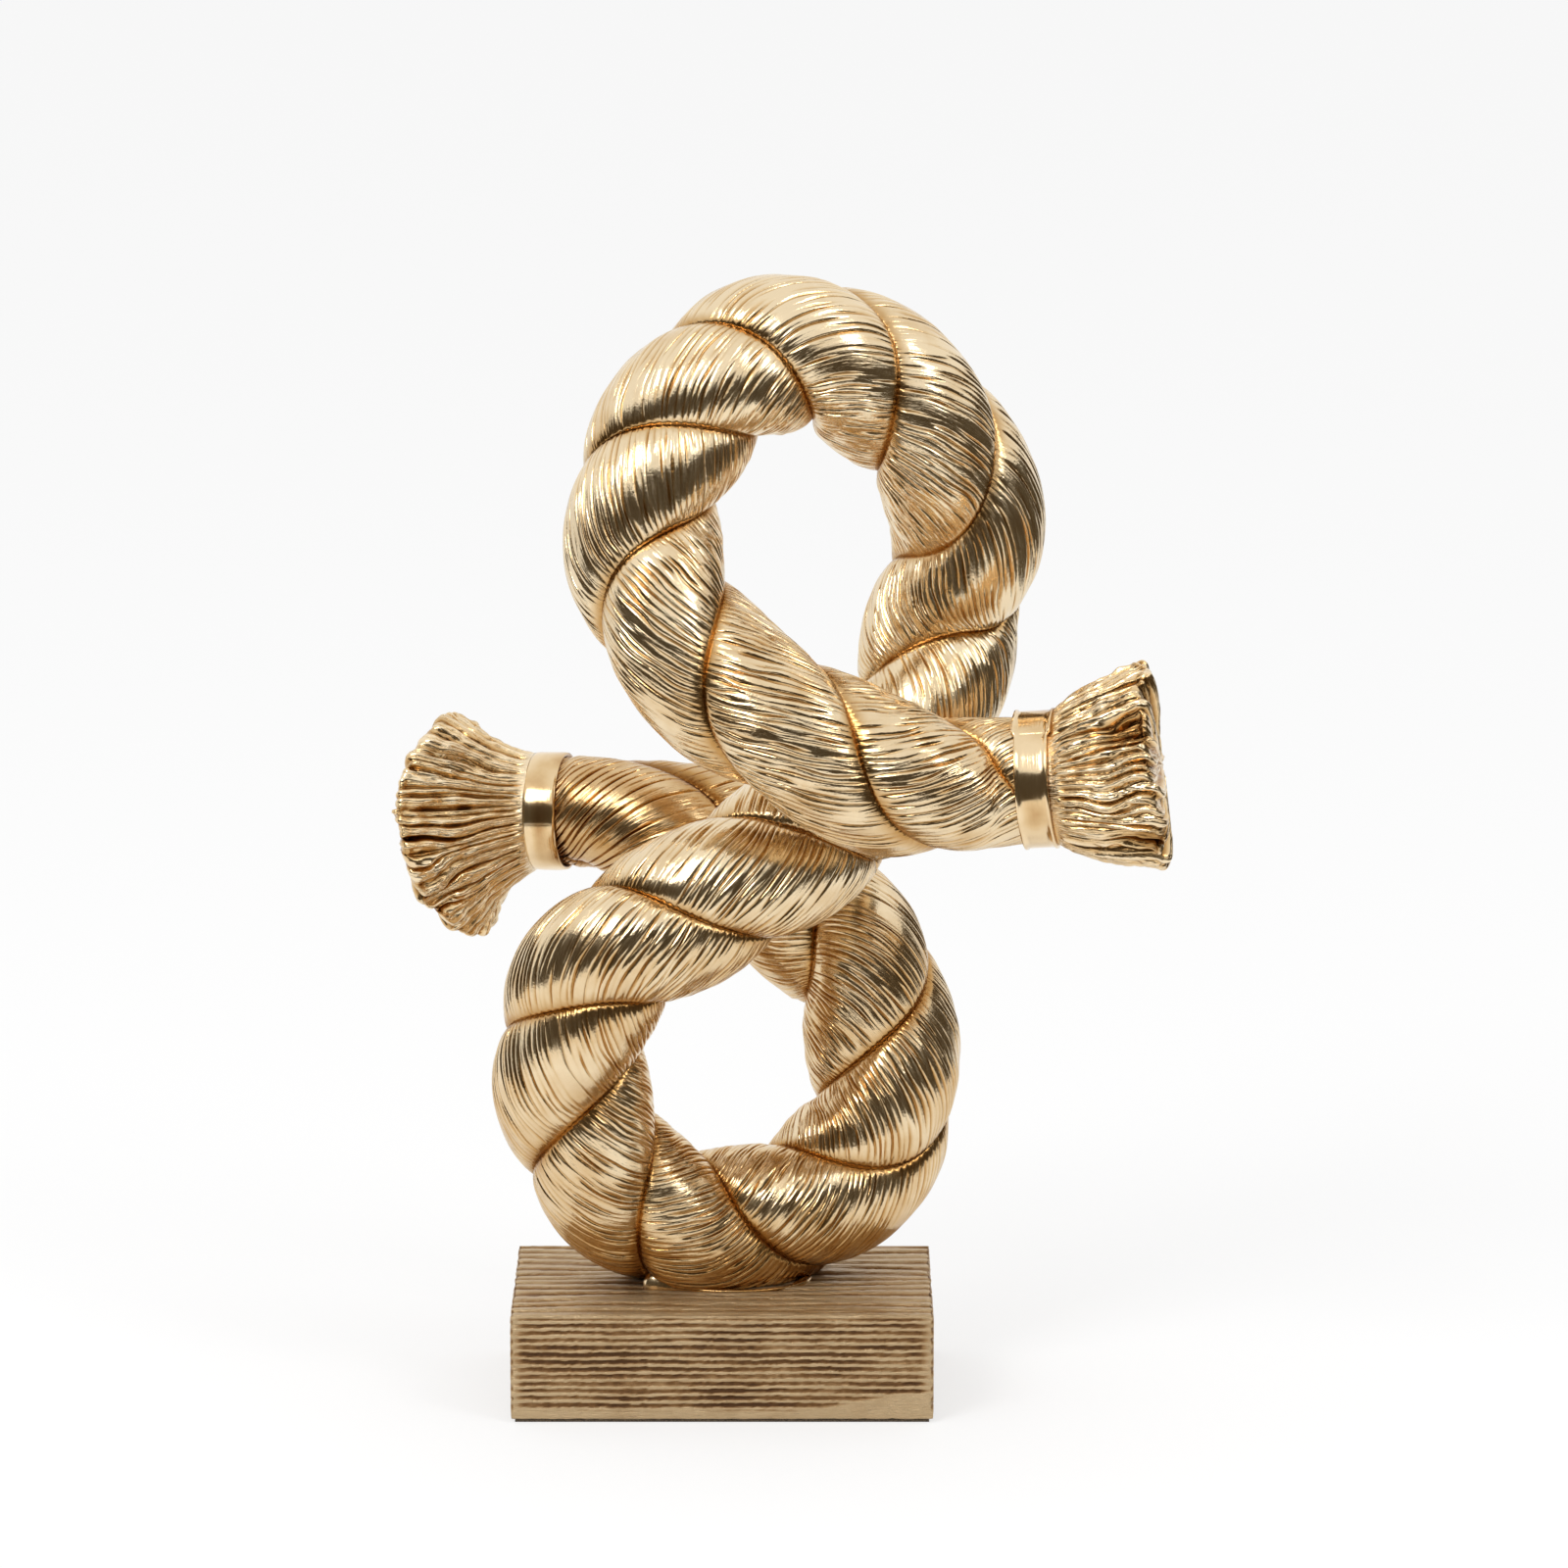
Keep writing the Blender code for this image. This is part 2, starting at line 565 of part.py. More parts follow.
def build():
    rope_gold = material("rope_gold", (0.72, 0.53, 0.27), 0.28, 1.0)
    fibre_gold = material("fibre_gold", (0.70, 0.51, 0.26), 0.36, 1.0)
    band_gold = material("band_gold", (0.80, 0.62, 0.36), 0.16, 1.0)
    plinth_gold = material("plinth_gold", (0.62, 0.50, 0.32), 0.46, 0.85)
    steel = material("zinc_steel", (0.55, 0.55, 0.56), 0.35, 1.0)
    felt = material("dark_felt", (0.06, 0.05, 0.045), 0.95, 0.0)

    section = strand_profile()
    strands = [
        make_strand("strand_%d" % (k + 1), section, 2.0 * math.pi * k / STRAND_COUNT, rope_gold)
        for k in range(STRAND_COUNT)
    ]
    make_core_rod(steel)
    left = FINE_ROUTE[0]
    right = FINE_ROUTE[-1]
    make_band("band_left", crowned_band_profile(LEFT_NECK_RADIUS + CLEARANCE), left, LEFT_AXIS, band_gold)
    make_band("band_right", rimmed_band_profile(RIGHT_NECK_RADIUS + CLEARANCE), right, RIGHT_AXIS, band_gold)
    left_profile = frayed_profile(
        LEFT_NECK_RADIUS, LEFT_MOUTH_RADIUS, LEFT_TASSEL_LENGTH, LEFT_END_DOME, LEFT_FLARE_CURVE)
    right_profile = frayed_profile(
        RIGHT_NECK_RADIUS, RIGHT_MOUTH_RADIUS, RIGHT_TASSEL_LENGTH, RIGHT_END_DOME, RIGHT_FLARE_CURVE)
    make_frayed_end(
        "frayed_end_left", left_profile, LEFT_TASSEL_LENGTH, left, LEFT_AXIS,
        LEFT_DROOP, LEFT_END_SLANT, fibre_gold)
    make_frayed_end(
        "frayed_end_right", right_profile, RIGHT_TASSEL_LENGTH, right, RIGHT_AXIS,
        RIGHT_DROOP, RIGHT_END_SLANT, fibre_gold)
    plinth = make_plinth(plinth_gold)
    make_felt(felt)
    make_fixing(FINE_ROUTE[SEAT_INDEX], steel, strands, plinth)


build()
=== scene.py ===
"""Looks of the rope knot sculpture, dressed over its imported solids.

Metres, +Z up, front towards -Y. The rope's route repeats the one that the solids follow.
"""
import math

import bpy
import numpy as np
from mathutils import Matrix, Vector


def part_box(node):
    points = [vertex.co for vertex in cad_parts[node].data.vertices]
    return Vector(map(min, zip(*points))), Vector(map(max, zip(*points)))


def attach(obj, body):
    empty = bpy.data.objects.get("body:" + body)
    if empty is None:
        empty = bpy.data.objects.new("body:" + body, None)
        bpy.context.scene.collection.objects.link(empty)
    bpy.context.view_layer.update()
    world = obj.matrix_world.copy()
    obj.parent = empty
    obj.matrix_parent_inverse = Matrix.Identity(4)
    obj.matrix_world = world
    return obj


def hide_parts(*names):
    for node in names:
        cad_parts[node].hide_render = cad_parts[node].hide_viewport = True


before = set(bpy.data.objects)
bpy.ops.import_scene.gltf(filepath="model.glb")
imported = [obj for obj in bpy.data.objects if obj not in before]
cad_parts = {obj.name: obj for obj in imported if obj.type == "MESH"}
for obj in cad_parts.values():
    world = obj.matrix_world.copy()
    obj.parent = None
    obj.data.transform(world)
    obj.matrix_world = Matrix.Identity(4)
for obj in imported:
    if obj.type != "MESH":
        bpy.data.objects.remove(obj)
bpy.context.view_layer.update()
FULL_TURN = 2.0 * math.pi
FRONT = np.array([0.0, -1.0, 0.0])
UP = np.array([0.0, 0.0, 1.0])

# Rope and its figure of eight
ROPE_RADIUS = 0.0265
CORE_RADIUS = 0.002
SEAT_FLAT = 0.003
LOWER_LOOP_RADIUS = 0.053
UPPER_LOOP_RADIUS = 0.051
LOWER_LOOP_X = 0.0015
LOOP_LEAN = 0.027
WAIST_SPAN_RADII = 3.32
LEFT_ARM_REACH = 0.0735
RIGHT_ARM_REACH = 0.0895
STRAIGHT_RUN = 0.0095
CLEARANCE = 0.0003
CURVE_STEPS = 24
EASED_STEPS = 900
EASE_WIDTH = 0.004
LOWER_BULGES = (-0.03, -0.02, 0.22, 0.22, 0.24, 0.15, 0.0, 0.01, 0.12)
UPPER_BULGES = (0.15, -0.17, -0.29, -0.14, -0.05, -0.05, 0.05, 0.23)

# Lay of the strands
STRAND_COUNT = 2
GROOVE_DEPTH = 0.0065
LOBE_CURVE = 1.25
LEFT_ARM_LAY_LENGTH = 0.24
LEFT_ARM_LAY_RUN = 0.060
LOWER_LAY_LENGTH = 0.0866
UPPER_LAY_LENGTH = 0.0953
LAY_CHANGE_RUN = 0.143
SEAT_LAY_PHASE = math.radians(208.0)
LAY_SWING = math.radians(34.5)
LAY_SWING_WAVE = 0.303
LAY_SWING_START = 0.090
LAY_SWING_PEAK = 0.1535

# Necks, bands and frayed ends
LEFT_NECK_RADIUS = 0.0187
RIGHT_NECK_RADIUS = 0.0205
LEFT_TAPER_RUN = 0.060
RIGHT_TAPER_RUN = 0.050
BAND_WIDTH = 0.011
BAND_THICKNESS = 0.0015
LEFT_TASSEL_BACK_ANGLE = math.radians(12.0)
LEFT_TASSEL_DIP_ANGLE = math.radians(2.0)
RIGHT_TASSEL_FRONT_ANGLE = math.radians(8.0)
RIGHT_TASSEL_RISE_ANGLE = math.radians(4.8)
LEFT_TASSEL_LENGTH = 0.0475
RIGHT_TASSEL_LENGTH = 0.0405
LEFT_MOUTH_RADIUS = 0.0388
RIGHT_MOUTH_RADIUS = 0.0350
LEFT_END_DOME = 0.005
RIGHT_END_DOME = 0.004
LEFT_DROOP = 0.0045
RIGHT_DROOP = -0.0024
LEFT_DROOP_CURVE = 0.65
RIGHT_DROOP_CURVE = 1.0
LEFT_END_SLANT = 0.12
RIGHT_END_SLANT = -0.05
LEFT_FLARE_CURVE = 1.1
RIGHT_FLARE_CURVE = 0.75

# Surface of the strands and the yarn lines cut into it
STRAND_SEED = 11
RINGS = 660
COLUMNS = 288
SECTION_STEPS = 721
OUTER_SWEEP = math.radians(85.0)
HIDDEN_BLEND = math.radians(20.0)
RELIEF_SWEEP = math.radians(46.0)
RELIEF_BLEND = math.radians(20.0)
INNER_DENSITY = 0.12
CREST_STEP = 0.05
YARN_TWIST = 1.2
YARN_STEPS = (6, 7, 8, 8, 9)
YARN_DEPTH = 0.00075
YARN_CUT = ((-2, 0.12), (-1, 0.5), (0, 1.0), (1, 0.5), (2, 0.12))
YARN_STRENGTH = 0.66
YARN_UNEVENNESS = 0.85
YARN_STRENGTH_CELLS = 115
YARN_STRENGTH_RANGE = (0.05, 1.25)
YARN_WANDER = 2.5
WANDER_CELLS = (110, 30)
LUMP_HEIGHT = 0.0003
LUMP_CELLS = (120, 14)
COLUMNS_PER_FINE_LINE = 7.5
SEAM_OVERLAP = math.radians(4.5)
GATHER_RUN = 0.016
GATHER_SHARE = 0.75
PINCH_BULGE = 0.0012
PINCH_START = 0.006
PINCH_RISE = 0.004
PINCH_END = 0.055
PINCH_FALL = 0.04
STEADY_TWIST_RUN = 0.045
STEADY_TWIST_EASE = 0.018
LEFT_ARM_COARSE_END = 0.08
LEFT_ARM_COARSE_FALL = 0.04
LEFT_ARM_DEEPER = 0.7

# Patina, painted shade and a darker tone on the strands
YARN_PATINA = 0.65
GROOVE_PATINA = 0.62
GROOVE_PATINA_START = math.radians(38.0)
GROOVE_PATINA_BLEND = math.radians(34.0)
# Painted shade on the left arm, which lies behind the knot
LEFT_ARM_PAINTED_SHADE = 0.42
# Painted shade low on the rope, darker towards the bottom
LOW_PAINTED_SHADE = 0.16
# Painted shade where the rope sits on the plinth
SEAT_PAINTED_SHADE = 0.3
SEAT_SHADE_HEIGHT = 1.6 * ROPE_RADIUS
# A darker tone on the right arm, towards its band
RIGHT_ARM_DARKENING = 0.12
RIGHT_ARM_DARKENING_START = 0.83
RIGHT_ARM_DARKENING_RUN = 0.05

# Yarns of the frayed ends
LEFT_TASSEL_SEED = 33
RIGHT_TASSEL_SEED = 32
FRAY_ROWS = 120
FRAY_COLUMNS = 720
FRAY_YARNS = 46
FRAY_FINE_YARNS = 104
FRAY_CLUMPS = 15
FRAY_GAPS = (0.4, 1.6)
FRAY_YARN_DEPTH = 0.0020
FRAY_YARN_CURVE = 2.5
FRAY_YARN_LIFT = 0.0010
FRAY_LIFT_CELLS = 4
FRAY_FINE_DEPTH = 0.0007
FRAY_FINE_CURVE = 3
FRAY_SLIT_DEPTH = 0.0028
FRAY_SLIT_START = 0.72
FRAY_SLIT_BLEND = 0.28
FRAY_SLIT_CELLS = 5
FRAY_SWELL = 0.0015
FRAY_SWELL_CELLS = (4, 11)
FRAY_CHIP = 0.0007
FRAY_CHIP_CELLS = (20, 150)
FRAY_GROWTH_CURVE = 1.5
FRAY_START = 0.1
FRAY_AT_ROOT = 0.45
FRAY_YARN_REACH = 0.0020
FRAY_CLUMP_REACH = 0.0013
FRAY_REACH_START = 0.5
FRAY_SWAY = 0.09
FRAY_SWAY_CELLS = (6, 26)
FRAY_SWAY_AT_ROOT = 0.4
FRAY_CALM = 0.6
FRAY_CALM_START = 0.94
FRAY_CALM_RUN = 0.08
FLARE_STEPS = 80
FLARE_EASE = (1.0, 2.0, 3.0, 2.0, 1.0)
DOME_SWEEP = math.radians(88.0)
END_BLUNTNESS = 0.62
LEFT_SIDE_CUT = 0.012
RIGHT_SIDE_CUT = 0.0
SIDE_CUT_START = 0.2
RIGHT_BRUSH_FRONT_ANGLE = math.radians(3.0)
HOLLOW_STRETCH = 1.6

# Hollows in the right end: turn, share of the way to the rim, size and depth of each
RIGHT_HOLLOWS = (
    (math.radians(146.0), 0.84, 0.0055, 0.0032),
    (math.radians(220.0), 0.86, 0.0065, 0.0036),
)

# Patina on the frayed ends
FRAY_YARN_PATINA = 0.7
FRAY_FINE_PATINA = 0.25
FRAY_CHIP_SHINE = 0.15
FRAY_SLIT_PATINA = 0.6
HOLLOW_PATINA = 0.5

# Fine bands
LEFT_BAND_SEED = 21
RIGHT_BAND_SEED = 22
BAND_SEGMENTS = 180
BAND_CROWN = 0.0003
CROWN_STEPS = 13
LEFT_HOOP_THICKNESS = 0.0009
BAND_RIM_WIDTH = 0.0012
BAND_RIM_HEIGHT = 0.0005
BAND_DENT = 0.0001
BAND_DENT_CELLS = (3, 17)
BAND_STAIN = 0.75
BAND_STAIN_CELLS = (2, 9)
BAND_LINES_PER_METRE = 800.0
LAP_HEIGHT = 0.0007
LAP_WIDER = 0.001
LAP_FIRST = math.radians(30.0)
LAP_LAST = math.radians(127.0)
LAP_EDGE = math.radians(2.5)

# Grain of the plinth, its margins as shares of a face's size
PLINTH_SEED = 5
GRAIN_CELLS = (122, 150, 108)
FACE_GRAIN_PITCH = 0.0025
FACE_GRAIN_DEPTH = 0.0006
FACE_GRAIN_START = 0.22
FACE_GRAIN_BLEND = 0.5
FACE_GRAIN_STRENGTH = 0.85
FACE_STRENGTH_RANGE = (0.2, 1.2)
FACE_LEFT_MARGIN = 0.008
FACE_LEFT_BLEND = 0.025
FACE_RIGHT_MARGIN = 0.992
FACE_RIGHT_BLEND = 0.03
FACE_TOP_MARGIN = 0.985
FACE_TOP_BLEND = 0.04
FACE_AT_MARGINS = 0.15
PLAIN_STRIP = 0.07
PLAIN_STRIP_BLEND = 0.05
PLAIN_CORNER = 0.16
PLAIN_CORNER_START = 0.66
PLAIN_CORNER_RUN = 0.3
TOP_GRAIN_PITCH = 0.0066
TOP_GRAIN_DEPTH = 0.0010
TOP_GRAIN_START = 0.25
TOP_GRAIN_BLEND = 0.6
TOP_GRAIN_STRENGTH = 0.7
TOP_STRENGTH_RANGE = (0.0, 1.1)
TOP_FRONT_BLEND = 0.02
END_GRAIN_DEPTH = 0.0003
END_GRAIN_PITCH = FACE_GRAIN_PITCH * 1.15
END_GRAIN_CURVE = 1.2
END_HEART = (0.35, -0.6)
EDGE_ROUND = 0.0008
EDGE_UNEVENNESS = 0.35
EDGE_CHIP = 0.0010
EDGE_CHIP_START = 0.45
EDGE_REACH = 2.2
TOP_GRAIN_PATINA = 0.85
# Painted light: the whole top is made paler
TOP_PAINTED_LIGHT = 0.16
END_GRAIN_PATINA = 0.7
PLINTH_LINES_PER_METRE = 900.0

# Noise over the plinth in layers: strength, points down and across, cells down and across
FACE_WANDER_LAYERS = ((0.10, 60, 80, 5, 7), (0.05, 60, 160, 12, 70))
FACE_STRENGTH_LAYERS = ((0.3, 90, 80, 13, 8), (0.2, 90, 240, 26, 110))
FACE_FRAY_LAYERS = ((0.3, 144, 232, 60, 116), (0.14, 90, 90, 9, 7))
TOP_WANDER_LAYERS = ((0.35, 80, 80, 9, 4),)
TOP_STRENGTH_LAYERS = ((0.5, 220, 80, 40, 8),)
TOP_FRAY_LAYERS = ((0.2, 220, 232, 110, 90),)
TOP_STAIN_LAYERS = ((0.28, 90, 60, 22, 4),)
END_WANDER_LAYERS = ((0.4, 60, 60, 6, 9),)
EDGE_CHIP_LAYERS = ((1.0, 160, 160, 60, 60),)

# Bead of gilding round the rope's seat
BEAD_SEED = 8
BEAD_RINGS = 120
BEAD_COLUMNS = 20
BEAD_SHIFT = 0.0015
BEAD_ALONG = 0.0262
BEAD_ACROSS = 0.0217
BEAD_RADIUS = 0.0020
BEAD_SIZE = 0.8
BEAD_SWELL = 0.5
BEAD_SWELL_CELLS = (1, 15)
BEAD_SLIMMER_RIGHT = 0.25
BEAD_WAVER = 0.05
BEAD_WAVER_CELLS = (1, 9)
BEAD_TALLNESS = 0.8
# Painted shade over the whole bead, and painted glints on its swells and blob
BEAD_PAINTED_SHADE = 0.45
BEAD_PAINTED_GLINT = 0.4
BEAD_LINES_PER_TURN = 9.0
BEAD_COLUMN_STEP = 0.0004
BLOB_TURN = math.radians(215.0)
BLOB_SPREAD = 0.22
BLOB_SWELL = 1.3
BLOB_FURTHER = 0.2
BLOB_TALLER = 0.5

# Grain of the materials, as noise scales per metre
CLOUD_SCALE = 70.0
FINE_LINE_SCALE = 2.2
GRIT_SCALE = 900.0
ZINC_SCALE = 260.0
FELT_SCALE = 1400.0
FELT_PILE = 0.0004

# Stage, light and camera
FLOOR_RADIUS = 9.0
FLOOR_COLOUR = (0.95, 0.95, 0.95, 1.0)
FLOOR_WHITE = 0.6
WHITE = (1.0, 1.0, 1.0, 1.0)
WORLD_LEVEL = 0.86
SCREEN_STEPS = 96
LIGHT_AIM = (0.0, 0.0, 0.2)
CAMERA_LENS = 177.55
CAMERA_SENSOR = 36.0
CAMERA_PLACE = (0.0207, -2.5331, 0.7344)
CAMERA_DIP_DEGREES = 11.72

# Places that follow from the frame and the sizes above
PLINTH_LOW, PLINTH_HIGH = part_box("plinth")
PLINTH_TOP = PLINTH_HIGH.z
LOWER_CENTRE = np.array([
    LOWER_LOOP_X,
    0.0,
    PLINTH_TOP + CLEARANCE - SEAT_FLAT + ROPE_RADIUS + LOWER_LOOP_RADIUS,
])
UPPER_CENTRE = LOWER_CENTRE + np.array([
    LOOP_LEAN,
    0.0,
    LOWER_LOOP_RADIUS + UPPER_LOOP_RADIUS + WAIST_SPAN_RADII * ROPE_RADIUS,
])
WAIST = (LOWER_CENTRE + UPPER_CENTRE) / 2


def end_axis(side, back_angle, rise_angle):
    """Direction of a frayed end that points to one side (-1 left, 1 right), turned back and up."""
    level = math.cos(rise_angle)
    return np.array([
        side * math.cos(back_angle) * level,
        math.sin(back_angle) * level,
        math.sin(rise_angle),
    ])


LEFT_AXIS = end_axis(-1.0, LEFT_TASSEL_BACK_ANGLE, -LEFT_TASSEL_DIP_ANGLE)
RIGHT_AXIS = end_axis(1.0, -RIGHT_TASSEL_FRONT_ANGLE, RIGHT_TASSEL_RISE_ANGLE)
RIGHT_BRUSH_AXIS = end_axis(1.0, -RIGHT_BRUSH_FRONT_ANGLE, RIGHT_TASSEL_RISE_ANGLE)


# Helpers

def smooth_step(values):
    held = np.clip(values, 0.0, 1.0)
    return held * held * (3.0 - 2.0 * held)


def rises(values, start, run):
    """0 up to a start, 1 once past its run."""
    return smooth_step((values - start) / run)


def falls(values, end, run):
    """1 until a run before an end, 0 from the end on."""
    return smooth_step((end - values) / run)


def unit(vectors):
    return vectors / np.linalg.norm(vectors, axis=-1, keepdims=True)


def turns(count):
    return np.linspace(0.0, FULL_TURN, count, endpoint=False)


def apart(first, second):
    """Signed angle from one turn to another, the short way round."""
    return (first - second + math.pi) % FULL_TURN - math.pi


def summed(steps):
    """Running total of steps, from 0."""
    return np.concatenate([[0.0], np.cumsum(steps)])


def smooth_noise(random, rows, columns, row_cells, column_cells):
    """Noise in -1..1 on a rows x columns grid, smooth along both and wrapping round the columns."""
    lattice = random.uniform(-1.0, 1.0, (row_cells + 2, column_cells))
    down = np.linspace(0.0, row_cells, rows)
    across = np.linspace(0.0, column_cells, columns, endpoint=False)
    i = down.astype(int)
    j = across.astype(int)
    u = smooth_step(down - i)[:, None]
    v = smooth_step(across - j)[None, :]
    next_j = (j + 1) % column_cells
    near = lattice[i][:, j] * (1.0 - v) + lattice[i][:, next_j] * v
    far = lattice[i + 1][:, j] * (1.0 - v) + lattice[i + 1][:, next_j] * v
    return near * (1.0 - u) + far * u


def value_at(grid, u, v):
    """Reads a grid at fractions 0..1 down and across it, straight between its points."""
    rows, columns = grid.shape
    i = np.clip(u, 0.0, 1.0) * (rows - 1)
    j = np.clip(v, 0.0, 1.0) * (columns - 1)
    i0 = np.minimum(i.astype(int), rows - 2)
    j0 = np.minimum(j.astype(int), columns - 2)
    a = i - i0
    b = j - j0
    near = grid[i0, j0] * (1.0 - b) + grid[i0, j0 + 1] * b
    far = grid[i0 + 1, j0] * (1.0 - b) + grid[i0 + 1, j0 + 1] * b
    return near * (1.0 - a) + far * a


def layered_noise(random, layers, u, v):
    """Sum of layers of noise, read at fractions 0..1 down and across them."""
    return sum(
        strength * value_at(smooth_noise(random, *grid), u, v)
        for strength, *grid in layers)


def make_piece(name, points, faces, material, values=None):
    """A smooth mesh object from points and faces, with named values at its points."""
    mesh = bpy.data.meshes.new(name)
    mesh.from_pydata(points.tolist(), [], faces)
    for key, data in (values or {}).items():
        layer = mesh.attributes.new(key, "FLOAT", "POINT")
        layer.data.foreach_set("value", np.asarray(data, dtype=np.float32).ravel())
    mesh.materials.append(material)
    mesh.shade_smooth()
    made = bpy.data.objects.new(name, mesh)
    bpy.context.scene.collection.objects.link(made)
    return made


def make_tube(name, points, material, values):
    """A closed piece from a grid of rings x columns points, capped at its first and last ring."""
    rings, columns = points.shape[:2]
    count = rings * columns
    index = np.arange(count).reshape(rings, columns)
    after = np.roll(index, -1, axis=1)
    quads = np.stack([index[:-1], after[:-1], after[1:], index[1:]], axis=-1).reshape(-1, 4)
    first_cap = np.stack([after[0], index[0], np.full(columns, count)], axis=-1)
    last_cap = np.stack([index[-1], after[-1], np.full(columns, count + 1)], axis=-1)
    flat = np.vstack([points.reshape(-1, 3), points[0].mean(axis=0), points[-1].mean(axis=0)])
    a, b, c, d = (flat[quads[:, k]] - flat[0] for k in range(4))
    volume = (np.cross(b, c) * a).sum() + (np.cross(c, d) * a).sum()
    faces = quads.tolist() + first_cap.tolist() + last_cap.tolist()
    if volume < 0.0:
        faces = [face[::-1] for face in faces]
    ends = {key: (data[0].mean(), data[-1].mean()) for key, data in values.items()}
    values = {key: np.append(data.ravel(), ends[key]) for key, data in values.items()}
    return make_piece(name, flat, faces, material, values)


def outward_normals(points, outward):
    """Unit normals of a grid of rings x columns points, on the outward side."""
    round_step = np.roll(points, -1, axis=1) - np.roll(points, 1, axis=1)
    normal = unit(np.cross(round_step, np.gradient(points, axis=0)))
    side = np.sign((normal * outward).sum(axis=-1).mean())
    return side * normal


def dress(piece, slot, *nodes):
    """Let a piece ride on the one body in place of its CAD nodes."""
    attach(piece, "root")
    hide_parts(*nodes)


# Materials

def node(tree, kind, inputs=None, **settings):
    """A shader node whose inputs are values or other nodes' outputs."""
    made = tree.nodes.new(kind)
    for key, value in settings.items():
        setattr(made, key, value)
    for key, value in (inputs or {}).items():
        if isinstance(value, bpy.types.NodeSocket):
            tree.links.new(value, made.inputs[key])
        else:
            made.inputs[key].default_value = value
    return made


def maths(tree, operation, first, second, clamp=False):
    inputs = {0: first, 1: second}
    return node(tree, "ShaderNodeMath", inputs, operation=operation, use_clamp=clamp).outputs[0]


def noise(tree, place, scale, detail):
    inputs = {"Vector": place, "Scale": scale, "Detail": detail}
    return node(tree, "ShaderNodeTexNoise", inputs).outputs["Fac"]


def spread(tree, value, low, high, start=0.3, end=0.7):
    """Stretches a noise value over low..high."""
    inputs = {"Value": value, "From Min": start, "From Max": end, "To Min": low, "To Max": high}
    return node(tree, "ShaderNodeMapRange", inputs).outputs["Result"]


def ramp(tree, factor, stops):
    """A colour ramp over (position, linear colour) stops."""
    made = node(tree, "ShaderNodeValToRGB", {"Fac": factor})
    elements = made.color_ramp.elements
    while len(elements) < len(stops):
        elements.new(0.5)
    for element, (position, colour) in zip(elements, stops):
        element.position = position
        element.color = (*colour, 1.0)
    return made.outputs["Color"]


def blank_material(name):
    made = bpy.data.materials.new(name)
    made.use_nodes = True
    return made, made.node_tree, made.node_tree.nodes["Principled BSDF"]


def attribute(tree, name):
    return node(tree, "ShaderNodeAttribute", attribute_name=name).outputs["Fac"]


def carved_gold(name, stops, cloudiness, roughness, line_rate, line_height, grit_share, metal=1.0):
    """Gilding over carved lines: patina and painted shade and light from a stored value, cloudy tone,
    streaked roughness and fine lines.
    """
    made, tree, shader = blank_material(name)
    place = node(tree, "ShaderNodeTexCoord").outputs["Object"]
    cloud = spread(tree, noise(tree, place, CLOUD_SCALE, 4.0), -cloudiness, cloudiness)
    tone = maths(tree, "ADD", attribute(tree, "patina_and_painted_light"), cloud, clamp=True)
    tree.links.new(ramp(tree, tone, stops), shader.inputs["Base Color"])
    along = maths(tree, "MULTIPLY", attribute(tree, "along"), line_rate)
    across = attribute(tree, "across")
    line_place = node(tree, "ShaderNodeCombineXYZ", {"X": across, "Y": along}).outputs[0]
    lines = noise(tree, line_place, FINE_LINE_SCALE, 3.0)
    tree.links.new(spread(tree, lines, *roughness), shader.inputs["Roughness"])
    grit = maths(tree, "MULTIPLY", noise(tree, place, GRIT_SCALE, 2.0), grit_share)
    relief = maths(tree, "ADD", lines, grit)
    bump = node(tree, "ShaderNodeBump", {"Height": relief, "Strength": 0.7, "Distance": line_height})
    tree.links.new(bump.outputs["Normal"], shader.inputs["Normal"])
    shader.inputs["Metallic"].default_value = metal
    return made


def zinc_plate():
    """Dull plating with a cloudy tone."""
    made, tree, shader = blank_material("zinc_steel")
    place = node(tree, "ShaderNodeTexCoord").outputs["Object"]
    cloud = noise(tree, place, ZINC_SCALE, 4.0)
    stops = [(0.3, (0.42, 0.42, 0.43)), (0.7, (0.60, 0.60, 0.61))]
    tree.links.new(ramp(tree, cloud, stops), shader.inputs["Base Color"])
    tree.links.new(spread(tree, cloud, 0.28, 0.46), shader.inputs["Roughness"])
    shader.inputs["Metallic"].default_value = 1.0
    return made


def dark_felt():
    """Matted fibres, dark brown."""
    made, tree, shader = blank_material("dark_felt")
    place = node(tree, "ShaderNodeTexCoord").outputs["Object"]
    fibres = noise(tree, place, FELT_SCALE, 5.0)
    stops = [(0.3, (0.06, 0.045, 0.03)), (0.7, (0.17, 0.13, 0.09))]
    tree.links.new(ramp(tree, fibres, stops), shader.inputs["Base Color"])
    bump = node(tree, "ShaderNodeBump", {"Height": fibres, "Strength": 0.8, "Distance": FELT_PILE})
    tree.links.new(bump.outputs["Normal"], shader.inputs["Normal"])
    shader.inputs["Roughness"].default_value = 0.95
    return made


